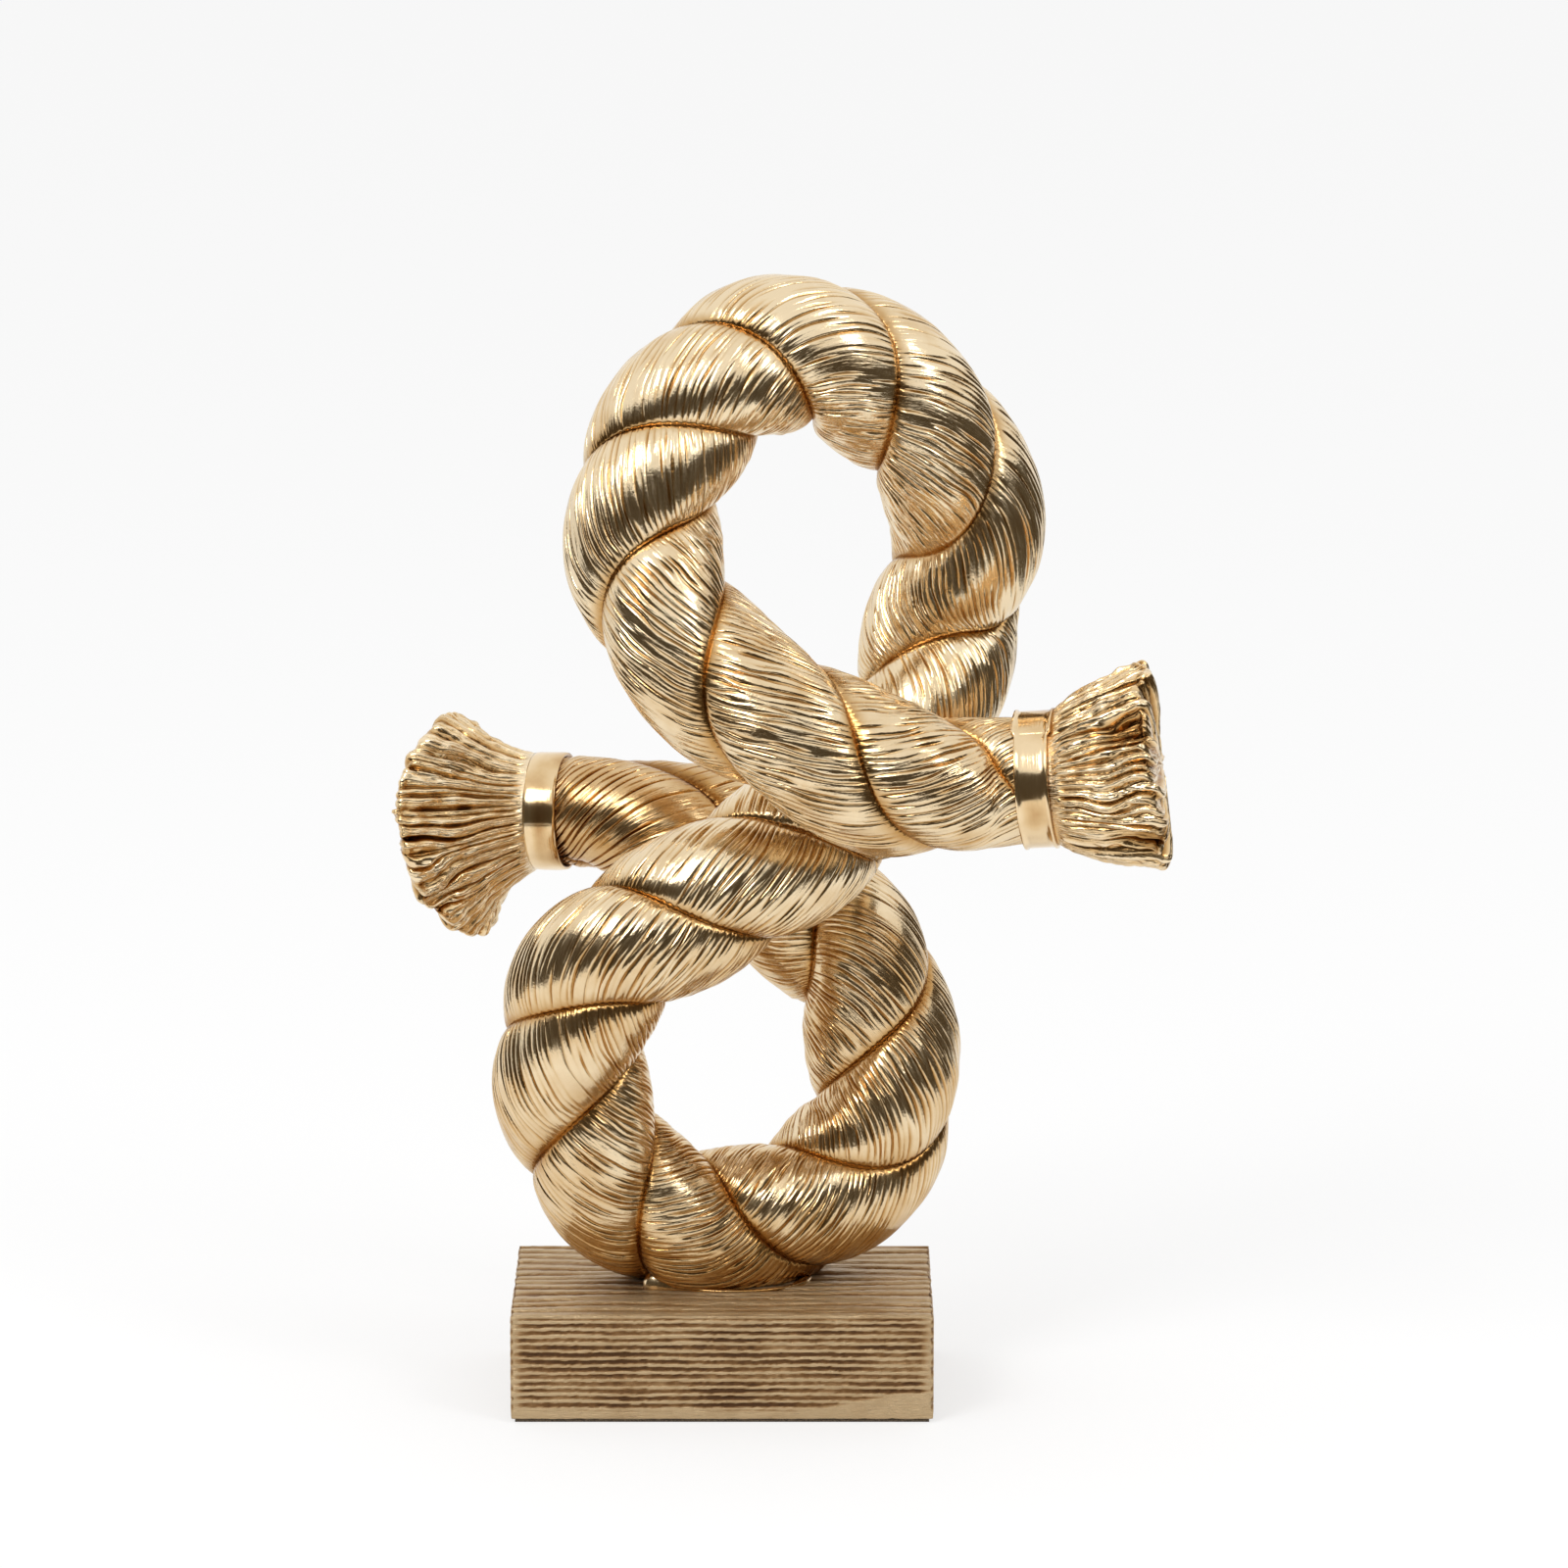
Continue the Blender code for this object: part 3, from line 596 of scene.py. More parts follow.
ROPE_GOLD = carved_gold(
    "rope_gold",
    [
        (0.0, (0.84, 0.68, 0.45)),
        (0.32, (0.68, 0.48, 0.255)),
        (0.65, (0.50, 0.28, 0.095)),
        (1.0, (0.28, 0.13, 0.035)),
    ],
    cloudiness=0.18, roughness=(0.10, 0.26), line_rate=60.0, line_height=0.0003, grit_share=0.25)
FIBRE_GOLD = carved_gold(
    "fibre_gold",
    [
        (0.0, (0.89, 0.72, 0.48)),
        (0.3, (0.75, 0.53, 0.275)),
        (0.65, (0.45, 0.25, 0.085)),
        (1.0, (0.17, 0.075, 0.02)),
    ],
    cloudiness=0.16, roughness=(0.11, 0.26), line_rate=90.0, line_height=0.00025, grit_share=0.25)
BAND_GOLD = carved_gold(
    "band_gold",
    [
        (0.0, (0.85, 0.66, 0.41)),
        (0.35, (0.72, 0.51, 0.27)),
        (0.7, (0.50, 0.29, 0.12)),
        (1.0, (0.26, 0.13, 0.05)),
    ],
    cloudiness=0.22, roughness=(0.08, 0.2), line_rate=30.0, line_height=0.00006, grit_share=0.25)
PLINTH_GOLD = carved_gold(
    "plinth_gold",
    [
        (0.0, (0.56, 0.41, 0.235)),
        (0.35, (0.37, 0.225, 0.10)),
        (0.7, (0.20, 0.098, 0.033)),
        (1.0, (0.10, 0.045, 0.015)),
    ],
    cloudiness=0.14, roughness=(0.26, 0.50), line_rate=40.0, line_height=0.0008, grit_share=0.6,
    metal=0.68)
ZINC_STEEL = zinc_plate()
DARK_FELT = dark_felt()


# Rope's route

def crossing(right, up, back):
    """A point near the waist, its offsets counted in rope radii."""
    return WAIST + ROPE_RADIUS * np.array([right, back, up])


def loop_arc(centre, radius, first, last, first_back, last_back, bulges):
    """A point for each bulge round a loop; angles in degrees, depths and bulges in rope radii."""
    turn = np.radians(np.linspace(first, last, len(bulges)))
    back = ROPE_RADIUS * np.linspace(first_back, last_back, len(bulges))
    reach = radius + ROPE_RADIUS * np.array(bulges)
    return list(centre + np.column_stack([reach * np.cos(turn), back, reach * np.sin(turn)]))


def route_points():
    """From the left band, behind the knot, round both loops, and across the front to the right band."""
    left = crossing(0.0, -0.79, 1.88) - np.array([LEFT_ARM_REACH, 0.0, 0.0])
    right = crossing(0.0, 0.337, -1.6) + np.array([RIGHT_ARM_REACH, 0.0, 0.0])
    band_run = STRAIGHT_RUN + BAND_WIDTH / 2
    points = [left, left - STRAIGHT_RUN * LEFT_AXIS, left - band_run * LEFT_AXIS]
    points += [crossing(-1.3, -0.95, 1.58), crossing(-0.54, -1.27, 1.66)]
    points += [crossing(0.33, -1.92, 1.51)]
    points += loop_arc(LOWER_CENTRE, LOWER_LOOP_RADIUS, 32.0, -222.0, 1.2, -0.8, LOWER_BULGES)
    points += [crossing(-0.73, -1.36, -0.73), crossing(0.13, -0.91, -0.37)]
    points += [crossing(0.98, -0.36, 0.18), crossing(1.94, 0.61, 0.55)]
    points += [crossing(2.23, 1.89, 1.04)]
    points += loop_arc(UPPER_CENTRE, UPPER_LOOP_RADIUS, -12.0, 200.0, 0.8, -0.7, UPPER_BULGES)
    points += [crossing(-0.67, 1.58, -1.22), crossing(0.34, 0.97, -1.56)]
    points += [crossing(1.58, 0.36, -1.68)]
    points += [right - band_run * RIGHT_AXIS, right - STRAIGHT_RUN * RIGHT_AXIS, right]
    return np.array(points)


def smooth_curve(points):
    """Centripetal Catmull-Rom curve through the points, CURVE_STEPS to each span."""
    held = np.vstack([2 * points[0] - points[1], points, 2 * points[-1] - points[-2]])
    knots = summed(np.linalg.norm(np.diff(held, axis=0), axis=1) ** 0.5)
    spans = []
    for k in range(1, len(held) - 2):
        p0, p1, p2, p3 = held[k - 1:k + 3]
        t0, t1, t2, t3 = knots[k - 1:k + 3]
        t = np.linspace(t1, t2, CURVE_STEPS, endpoint=False)[:, None]
        a1 = ((t1 - t) * p0 + (t - t0) * p1) / (t1 - t0)
        a2 = ((t2 - t) * p1 + (t - t1) * p2) / (t2 - t1)
        a3 = ((t3 - t) * p2 + (t - t2) * p3) / (t3 - t2)
        b1 = ((t2 - t) * a1 + (t - t0) * a2) / (t2 - t0)
        b2 = ((t3 - t) * a2 + (t - t1) * a3) / (t3 - t1)
        spans.append(((t2 - t) * b1 + (t - t1) * b2) / (t2 - t1))
    spans.append(held[-2:-1])
    return np.vstack(spans)


def lay_turn(station, length, seat_station):
    """How far the strands have turned about the rope's axis at each station, set at the rope's seat."""
    past_half = station - length / 2
    share = smooth_step(past_half / LAY_CHANGE_RUN)
    opened = 1.0 - rises(station, LEFT_ARM_LAY_RUN / 2, LEFT_ARM_LAY_RUN / 2)
    lay = LOWER_LAY_LENGTH + (UPPER_LAY_LENGTH - LOWER_LAY_LENGTH) * share
    lay += (LEFT_ARM_LAY_LENGTH - LOWER_LAY_LENGTH) * opened
    rate = FULL_TURN / lay
    turned = summed((rate[1:] + rate[:-1]) / 2 * np.diff(station))
    turned -= np.interp(seat_station, station, turned)
    swing = LAY_SWING * np.cos(FULL_TURN * (past_half - LAY_SWING_PEAK) / LAY_SWING_WAVE)
    fade = rises(past_half, LAY_SWING_START, LAY_SWING_PEAK - LAY_SWING_START)
    return SEAT_LAY_PHASE + turned - swing * fade


def rope_radius(station, length):
    """Radius of the rope at each station, slimmer at both necks, with a swell beside the left band."""
    from_left = station / LEFT_TAPER_RUN
    from_right = (length - station) / RIGHT_TAPER_RUN
    left = LEFT_NECK_RADIUS + (ROPE_RADIUS - LEFT_NECK_RADIUS) * smooth_step(from_left)
    right = RIGHT_NECK_RADIUS + (ROPE_RADIUS - RIGHT_NECK_RADIUS) * smooth_step(from_right)
    pinched = rises(station, PINCH_START, PINCH_RISE) * falls(station, PINCH_END, PINCH_FALL)
    return np.minimum(left, right) + PINCH_BULGE * pinched


def eased(points):
    """The route at even steps, its corners eased and its ends kept."""
    station = summed(np.linalg.norm(np.diff(points, axis=0), axis=1))
    even = np.linspace(0.0, station[-1], EASED_STEPS)
    held = np.column_stack([np.interp(even, station, points[:, axis]) for axis in range(3)])
    reach = int(3.0 * EASE_WIDTH / even[1])
    before = 2 * held[0] - held[reach:0:-1]
    after = 2 * held[-1] - held[-2:-reach - 2:-1]
    long = np.vstack([before, held, after])
    weight = np.exp(-0.5 * (np.arange(-reach, reach + 1) * even[1] / EASE_WIDTH) ** 2)
    weight = weight / weight.sum()
    return np.column_stack([np.convolve(long[:, axis], weight, "valid") for axis in range(3)])


ROUTE = eased(smooth_curve(route_points()))
ROUTE_STATION = summed(np.linalg.norm(np.diff(ROUTE, axis=0), axis=1))
ROPE_LENGTH = ROUTE_STATION[-1]
SEAT_INDEX = ROUTE[:, 2].argmin()
ROUTE_TURN = lay_turn(ROUTE_STATION, ROPE_LENGTH, ROUTE_STATION[SEAT_INDEX])
ROUTE_TANGENT = unit(np.gradient(ROUTE, ROUTE_STATION, axis=0))


def along_route(station, values):
    return np.column_stack([np.interp(station, ROUTE_STATION, values[:, axis]) for axis in range(3)])


# Strands of the rope

def strand_section():
    """Radius and angle round the rope's axis at each turn round one strand, at full rope size."""
    turn = np.linspace(-math.pi, math.pi, SECTION_STEPS)
    slimmest = min(LEFT_NECK_RADIUS, RIGHT_NECK_RADIUS)
    inner = (CORE_RADIUS + CLEARANCE) * ROPE_RADIUS / slimmest
    groove = ROPE_RADIUS - GROOVE_DEPTH
    lobe = GROOVE_DEPTH * np.clip(np.cos(turn), 0.0, 1.0) ** LOBE_CURVE
    wedge = (groove - inner) * np.clip(-np.cos(turn), 0.0, 1.0)
    return turn, groove + lobe - wedge, (math.pi / STRAND_COUNT + SEAM_OVERLAP) * np.sin(turn)


def even_columns(turn, radius, angle):
    """Column coordinate at each turn: even along the outer side, sparse on the hidden inner side."""
    step = np.hypot(np.diff(radius * np.cos(angle)), np.diff(radius * np.sin(angle)))
    middle = (turn[1:] + turn[:-1]) / 2
    hidden = rises(np.abs(middle), OUTER_SWEEP, HIDDEN_BLEND)
    total = summed(step * (1.0 - (1.0 - INNER_DENSITY) * hidden))
    return total / total[-1] * FULL_TURN - math.pi


def yarn_places(random, station, turned, turn, column_at):
    """Turn round the strand at each ring and column, the columns laid along the yarns."""
    crest_rate = np.interp(CREST_STEP, turn, column_at) / CREST_STEP
    lean = YARN_TWIST * crest_rate / (math.pi / STRAND_COUNT)
    wander = smooth_noise(random, RINGS, COLUMNS, *WANDER_CELLS)
    wander = YARN_WANDER * FULL_TURN / COLUMNS * wander
    steady = FULL_TURN * (1.0 / LOWER_LAY_LENGTH - 1.0 / LEFT_ARM_LAY_LENGTH)
    before = STEADY_TWIST_RUN - station
    laid = turned - steady * (before + np.hypot(before, STEADY_TWIST_EASE))[:, None] / 2.0
    place = apart(turns(COLUMNS)[None, :] - lean * laid + wander, 0.0)
    return np.interp(place, column_at, turn)


def strand_reach(station, here, turn, radius):
    """Distance from the rope's axis at each ring and column: the bands gather the strands round."""
    size = (rope_radius(station, ROPE_LENGTH) / ROPE_RADIUS)[:, None]
    from_end = np.minimum(station, ROPE_LENGTH - station)
    gathered = GATHER_SHARE * (1.0 - smooth_step(from_end / GATHER_RUN))[:, None]
    reach = np.interp(here, turn, radius)
    return size * (reach + gathered * np.clip(ROPE_RADIUS - reach, 0.0, GROOVE_DEPTH))


def yarn_valleys(random, finer):
    """How deep the yarn lines cut at each ring and column, every other one only where they are finer."""
    starts = [0]
    while starts[-1] < COLUMNS - 2 * max(YARN_STEPS):
        starts.append(starts[-1] + int(random.choice(YARN_STEPS)))
    count = len(starts)
    uneven = smooth_noise(random, RINGS, count, YARN_STRENGTH_CELLS, count)
    strength = np.clip(YARN_STRENGTH + YARN_UNEVENNESS * uneven, *YARN_STRENGTH_RANGE)
    depth = np.zeros((RINGS, COLUMNS))
    for k, column in enumerate(starts):
        cut = strength[:, k] * (finer if k % 2 else 1.0)
        for offset, share in YARN_CUT:
            at = (column + offset) % COLUMNS
            depth[:, at] = np.maximum(depth[:, at], share * cut)
    return depth


def strand_patina_and_shade(here, station, left_arm, height):
    """How dark the gilding is: patina in the grooves, painted shade on the left arm, low on the rope and at
    its seat, and a darker tone on the right arm.
    """
    groove = rises(np.abs(here), GROOVE_PATINA_START, GROOVE_PATINA_BLEND)
    low = falls(height, LOWER_CENTRE[2] + LOWER_LOOP_RADIUS + ROPE_RADIUS, LOWER_LOOP_RADIUS)
    seat = falls(height, PLINTH_TOP + SEAT_SHADE_HEIGHT, SEAT_SHADE_HEIGHT)
    share = station / ROPE_LENGTH
    right_arm = rises(share, RIGHT_ARM_DARKENING_START, RIGHT_ARM_DARKENING_RUN)[:, None]
    # Groove patina plus painted shade on the left arm and low on the rope
    worn = GROOVE_PATINA * groove ** 2 + LEFT_ARM_PAINTED_SHADE * left_arm + LOW_PAINTED_SHADE * low
    return worn + SEAT_PAINTED_SHADE * seat + RIGHT_ARM_DARKENING * right_arm


def make_strand(number):
    """One strand in two halves, carved with yarn lines that cross each lobe."""
    random = np.random.default_rng(STRAND_SEED + number)
    station = np.linspace(0.0, ROPE_LENGTH, RINGS)
    turned = np.interp(station, ROUTE_STATION, ROUTE_TURN)[:, None]
    turn, radius, angle = strand_section()
    here = yarn_places(random, station, turned, turn, even_columns(turn, radius, angle))
    reach = strand_reach(station, here, turn, radius)
    round_axis = math.pi / 2 + turned + FULL_TURN * number / STRAND_COUNT
    round_axis = (round_axis + np.interp(here, turn, angle))[..., None]

    tangent = unit(along_route(station, ROUTE_TANGENT))
    ahead = unit(FRONT - tangent * (tangent @ FRONT)[:, None])
    aside = np.cross(tangent, ahead)
    outward = np.cos(round_axis) * ahead[:, None] + np.sin(round_axis) * aside[:, None]
    points = along_route(station, ROUTE)[:, None] + reach[..., None] * outward

    shown = 1.0 - rises(np.abs(here), RELIEF_SWEEP, RELIEF_BLEND)
    # The left arm's lines cut coarser and deeper, and the same mask paints shade on it
    left_arm = falls(station, LEFT_ARM_COARSE_END, LEFT_ARM_COARSE_FALL)[:, None]
    valley = yarn_valleys(random, 1.0 - left_arm[:, 0]) * shown
    lumps = smooth_noise(random, RINGS, COLUMNS, *LUMP_CELLS) * shown
    push = LUMP_HEIGHT * lumps - YARN_DEPTH * (1.0 + LEFT_ARM_DEEPER * left_arm) * valley
    points = points + push[..., None] * outward_normals(points, outward)
    points[..., 2] = np.maximum(points[..., 2], PLINTH_TOP + CLEARANCE / 2)

    # Patina in the grooves with painted shade on the left arm, low down and at the seat
    worn = strand_patina_and_shade(here, station, left_arm, points[..., 2])
    values = {
        "patina_and_painted_light": np.clip(YARN_PATINA * valley + worn, 0.0, 1.0),
        "across": np.broadcast_to(np.arange(COLUMNS) / COLUMNS_PER_FINE_LINE, (RINGS, COLUMNS)),
        "along": np.broadcast_to(station[:, None], (RINGS, COLUMNS)),
    }
    half = RINGS // 2
    for label, rows in (("first", slice(0, half + 1)), ("last", slice(half, RINGS))):
        name = "carved_strand_%d_%s" % (number + 1, label)
        half_values = {key: data[rows] for key, data in values.items()}
        piece = make_tube(name, points[rows], ROPE_GOLD, half_values)
        dress(piece, "rope_gold", "strand_%d" % (number + 1))


# Bands

def end_directions(axis):
    """An end's own axis, and the directions across it and up it."""
    up = unit(UP - axis * axis[2])
    return axis, np.cross(up, axis), up


def revolve(point, axis, turn, radius, height):
    """Points at each turn, radius and height about an axis through a point, and their outward directions."""
    along, across, up = end_directions(axis)
    side = np.cos(turn)[..., None] * across + np.sin(turn)[..., None] * up
    return point + height[..., None] * along + radius[..., None] * side, side


def crowned_outline():
    """Heights and lifts of a hoop that swells a little at its middle."""
    height = np.linspace(-BAND_WIDTH / 2, BAND_WIDTH / 2, CROWN_STEPS)
    return height, BAND_CROWN * (1.0 - (2.0 * height / BAND_WIDTH) ** 4)


def rimmed_outline():
    """Heights and lifts of a hoop with a raised rim at each edge."""
    half = BAND_WIDTH / 2
    rim = half - BAND_RIM_WIDTH
    slope = BAND_RIM_WIDTH / 3
    pairs = [(-half, 0.0), (-half + slope / 2, BAND_RIM_HEIGHT)]
    pairs += [(-rim - slope, BAND_RIM_HEIGHT), (-rim, 0.0)]
    pairs += [(height, 0.0) for height in np.linspace(-rim * 0.7, rim * 0.7, 5)]
    pairs += [(rim, 0.0), (rim + slope, BAND_RIM_HEIGHT)]
    pairs += [(half - slope / 2, BAND_RIM_HEIGHT), (half, 0.0)]
    return np.array(pairs).T


def make_band(name, cad_node, point, axis, neck, thickness, outline, lapped, seed):
    """A hoop with an outline of heights and lifts; a lapped one's end lies over its start, a step higher."""
    random = np.random.default_rng(seed)
    heights, lifts = outline
    count = len(heights)
    inner = neck + CLEARANCE
    turn = np.broadcast_to(turns(BAND_SEGMENTS)[:, None], (BAND_SEGMENTS, count))
    dents = BAND_DENT * smooth_noise(random, count, BAND_SEGMENTS, *BAND_DENT_CELLS).T
    raised = lapped * rises(turn, LAP_FIRST, LAP_EDGE) * falls(turn, LAP_LAST, LAP_EDGE)
    outer = inner + thickness + lifts[None, :] + dents + LAP_HEIGHT * raised
    wider = LAP_WIDER * raised * np.sign(heights)[None, :]
    height = heights[None, :] + wider * (np.abs(heights) > BAND_WIDTH / 4)
    radius = np.hstack([outer, np.full((BAND_SEGMENTS, 2), inner)])
    height = np.hstack([height, height[:, -1:], height[:, :1]])
    turn = np.hstack([turn, turn[:, :2]])
    points, _ = revolve(point, axis, turn, radius, height)
    index = np.arange(turn.size).reshape(turn.shape)
    after = np.roll(index, -1, axis=1)
    corners = [index, after, np.roll(after, -1, axis=0), np.roll(index, -1, axis=0)]
    quads = np.stack(corners, axis=-1).reshape(-1, 4)
    stain = smooth_noise(random, count, BAND_SEGMENTS, *BAND_STAIN_CELLS).T
    stain = BAND_STAIN * np.clip(stain, 0.0, 1.0)
    values = {
        "patina_and_painted_light": np.hstack([stain, np.ones((BAND_SEGMENTS, 2))]),
        "across": height * BAND_LINES_PER_METRE,
        "along": turn * inner,
    }
    piece = make_piece(name, points.reshape(-1, 3), quads.tolist(), BAND_GOLD, values)
    dress(piece, "band_gold", cad_node)


# Frayed ends

def flare_outline(neck, mouth, length, dome, curve):
    """Radius and height at even steps along a frayed end's outline, from inside its band to its tip."""
    start = BAND_WIDTH / 2
    edge = length - dome
    share = np.linspace(0.0, 1.0, FLARE_STEPS)
    turn = np.linspace(0.0, DOME_SWEEP, FLARE_STEPS)[1:]
    root = neck + PINCH_BULGE
    side = root + (mouth - root) * share ** curve
    side_height = start + (edge - start) * share
    dome_height = edge + dome * np.sin(turn) ** END_BLUNTNESS
    radius = np.concatenate([[neck - CLEARANCE], side, mouth * np.cos(turn) ** END_BLUNTNESS])
    height = np.concatenate([[0.0], side_height, dome_height])
    station = summed(np.hypot(np.diff(radius), np.diff(height)))
    even = np.linspace(0.0, station[-1], FRAY_ROWS)
    ease = np.array(FLARE_EASE) / sum(FLARE_EASE)
    margin = len(FLARE_EASE) // 2
    radius = np.convolve(np.pad(np.interp(even, station, radius), margin, "edge"), ease, "valid")
    height = np.convolve(np.pad(np.interp(even, station, height), margin, "edge"), ease, "valid")
    return radius, height, even


def yarn_shares(random, turn, count):
    """Which of a ring of uneven yarns each turn lies in, and how far across that yarn, -1 to 1."""
    gaps = random.uniform(*FRAY_GAPS, count)
    edges = summed(gaps) / gaps.sum() * FULL_TURN
    turn = turn % FULL_TURN
    number = np.clip(np.searchsorted(edges, turn, side="right") - 1, 0, count - 1)
    across = 2.0 * (turn - edges[number]) / (edges[number + 1] - edges[number]) - 1.0
    return number, across


def make_tassel(name, cad_node, point, axis, outline, droop, droop_curve, slant, side_cut, hollows, seed):
    """A fan of yarns cast in one: yarns of finer ones, slits between clumps, a ragged end and hollows."""
    random = np.random.default_rng(seed)
    radius, height, station = outline
    rim = station[radius.argmax()]
    mouth = radius.max()
    edge = height[radius.argmax()]
    share = np.clip((height - BAND_WIDTH / 2) / (edge - BAND_WIDTH / 2), 0.0, 1.0)[:, None]
    to_rim = station[:, None] / rim
    grown = np.maximum.accumulate(share)
    started = smooth_step(share / FRAY_START)
    row = np.arange(FRAY_ROWS)[:, None]
    turn = np.broadcast_to(turns(FRAY_COLUMNS)[None, :], (FRAY_ROWS, FRAY_COLUMNS))
    radius = np.broadcast_to(radius[:, None], turn.shape)

    sway = FRAY_SWAY * smooth_noise(random, *turn.shape, *FRAY_SWAY_CELLS)
    bent = turn + sway * (FRAY_SWAY_AT_ROOT + (1.0 - FRAY_SWAY_AT_ROOT) * grown)
    yarn, across = yarn_shares(random, bent, FRAY_YARNS)
    fine_yarn, fine_across = yarn_shares(random, bent, FRAY_FINE_YARNS)
    clump, clump_across = yarn_shares(random, bent, FRAY_CLUMPS)
    lift = smooth_noise(random, FRAY_ROWS, FRAY_YARNS, FRAY_LIFT_CELLS, FRAY_YARNS)[row, yarn]
    opened = smooth_noise(random, FRAY_ROWS, FRAY_CLUMPS, FRAY_SLIT_CELLS, FRAY_CLUMPS)
    opened = np.clip(0.5 + opened, 0.0, 1.0)[row, clump]
    valley = np.abs(across) ** FRAY_YARN_CURVE
    fine = np.abs(fine_across) ** FRAY_FINE_CURVE
    slit = rises(np.abs(clump_across), FRAY_SLIT_START, FRAY_SLIT_BLEND) * opened
    swell = smooth_noise(random, *turn.shape, *FRAY_SWELL_CELLS)
    chip = smooth_noise(random, *turn.shape, *FRAY_CHIP_CELLS)

    push = FRAY_YARN_LIFT * lift + FRAY_CHIP * chip - FRAY_YARN_DEPTH * valley - FRAY_FINE_DEPTH * fine
    push = started * (FRAY_AT_ROOT + (1.0 - FRAY_AT_ROOT) * grown) * push
    push = push + grown ** FRAY_GROWTH_CURVE * (FRAY_SWELL * swell - FRAY_SLIT_DEPTH * slit)
    sunk = FRAY_YARN_PATINA * valley + FRAY_FINE_PATINA * fine - FRAY_CHIP_SHINE * chip
    sunk = started * sunk + FRAY_SLIT_PATINA * slit * grown
    for hollow_turn, hollow_share, hollow_size, hollow_depth in hollows:
        beside = apart(turn, hollow_turn) * mouth / hollow_size
        below = (station[:, None] - hollow_share * rim) / (HOLLOW_STRETCH * hollow_size)
        hollow = np.exp(-beside ** 4 - below ** 4)
        push = push - hollow_depth * hollow
        sunk = sunk + HOLLOW_PATINA * hollow
    push = push * (1.0 - FRAY_CALM * rises(to_rim, FRAY_CALM_START, FRAY_CALM_RUN))

    yarn_reach = random.uniform(-1.0, 1.0, FRAY_YARNS)[yarn] * (1.0 - np.abs(across) ** 4)
    clump_reach = random.uniform(-1.0, 1.0, FRAY_CLUMPS)[clump] * (1.0 - np.abs(clump_across) ** 6)
    ragged = FRAY_YARN_REACH * yarn_reach + FRAY_CLUMP_REACH * clump_reach
    ragged = ragged * rises(to_rim, FRAY_REACH_START, 1.0 - FRAY_REACH_START) * radius / mouth
    cut = side_cut * np.sin(turn) ** 2
    cut = cut * rises(to_rim, SIDE_CUT_START, 1.0 - SIDE_CUT_START) * radius / mouth
    tall = height[:, None] - cut + slant * radius * np.sin(turn) * share
    points, side = revolve(point, axis, turn, radius, tall)
    points = points + push[..., None] * outward_normals(points, side) + ragged[..., None] * axis
    points = points - (droop * grown ** droop_curve)[..., None] * end_directions(axis)[2]
    values = {
        "patina_and_painted_light": np.clip(sunk, 0.0, 1.0),
        "across": fine_yarn * 3.0 + fine_across,
        "along": np.broadcast_to(station[:, None], turn.shape),
    }
    piece = make_tube(name, points, FIBRE_GOLD, values)
    dress(piece, "fibre_gold", cad_node)


# Plinth

def box_lattice(cells):
    """Points in 0..1 over a box's six faces, and quads that look outward."""
    size = np.array(cells)
    grid = np.stack(np.meshgrid(*(np.arange(cell + 1) for cell in cells), indexing="ij"), axis=-1)
    outside = ((grid == 0) | (grid == size)).any(axis=-1)
    index = np.full(outside.shape, -1)
    index[outside] = np.arange(outside.sum())
    quads = []
    for axis in range(3):
        for end in (0, cells[axis]):
            layer = np.take(index, end, axis=axis)
            corners = [layer[:-1, :-1], layer[1:, :-1], layer[1:, 1:], layer[:-1, 1:]]
            if (end > 0) == (axis == 1):
                corners.reverse()
            quads.append(np.stack(corners, axis=-1).reshape(-1, 4))
    return grid[outside] / size, np.vstack(quads)


def ridges(distance, pitch, wander, sharpness=1.0):
    """1 at the bottom of each valley between ridges, 0 on the crests."""
    return (0.5 + 0.5 * np.cos(FULL_TURN * (distance / pitch + wander))) ** sharpness


def face_grain(random, x, z, height):
    """Depth of the grain on the long faces, 0 to 1, with margins and a plain strip along the bottom."""
    wander = layered_noise(random, FACE_WANDER_LAYERS, z, x)
    strength = FACE_GRAIN_STRENGTH + layered_noise(random, FACE_STRENGTH_LAYERS, z, x)
    frayed = layered_noise(random, FACE_FRAY_LAYERS, z, x)
    margin = rises(x, FACE_LEFT_MARGIN, FACE_LEFT_BLEND) * falls(x, FACE_RIGHT_MARGIN, FACE_RIGHT_BLEND)
    strip = PLAIN_STRIP + PLAIN_CORNER * rises(x, PLAIN_CORNER_START, PLAIN_CORNER_RUN)
    plain = rises(z, strip, PLAIN_STRIP_BLEND) * falls(z, FACE_TOP_MARGIN, FACE_TOP_BLEND)
    cut = ridges(z * height, FACE_GRAIN_PITCH, wander) + frayed
    cut = rises(cut, FACE_GRAIN_START, FACE_GRAIN_BLEND) * np.clip(strength, *FACE_STRENGTH_RANGE)
    return cut * (FACE_AT_MARGINS + (1.0 - FACE_AT_MARGINS) * margin) * plain


def top_grain(random, x, y, depth):
    """Depth of the grain on the top, 0 to 1."""
    wander = layered_noise(random, TOP_WANDER_LAYERS, y, x)
    strength = TOP_GRAIN_STRENGTH + layered_noise(random, TOP_STRENGTH_LAYERS, y, x)
    cut = layered_noise(random, TOP_FRAY_LAYERS, y, x)
    cut = rises(ridges(y * depth, TOP_GRAIN_PITCH, wander) + cut, TOP_GRAIN_START, TOP_GRAIN_BLEND)
    return cut * np.clip(strength, *TOP_STRENGTH_RANGE) * smooth_step(y / TOP_FRONT_BLEND)


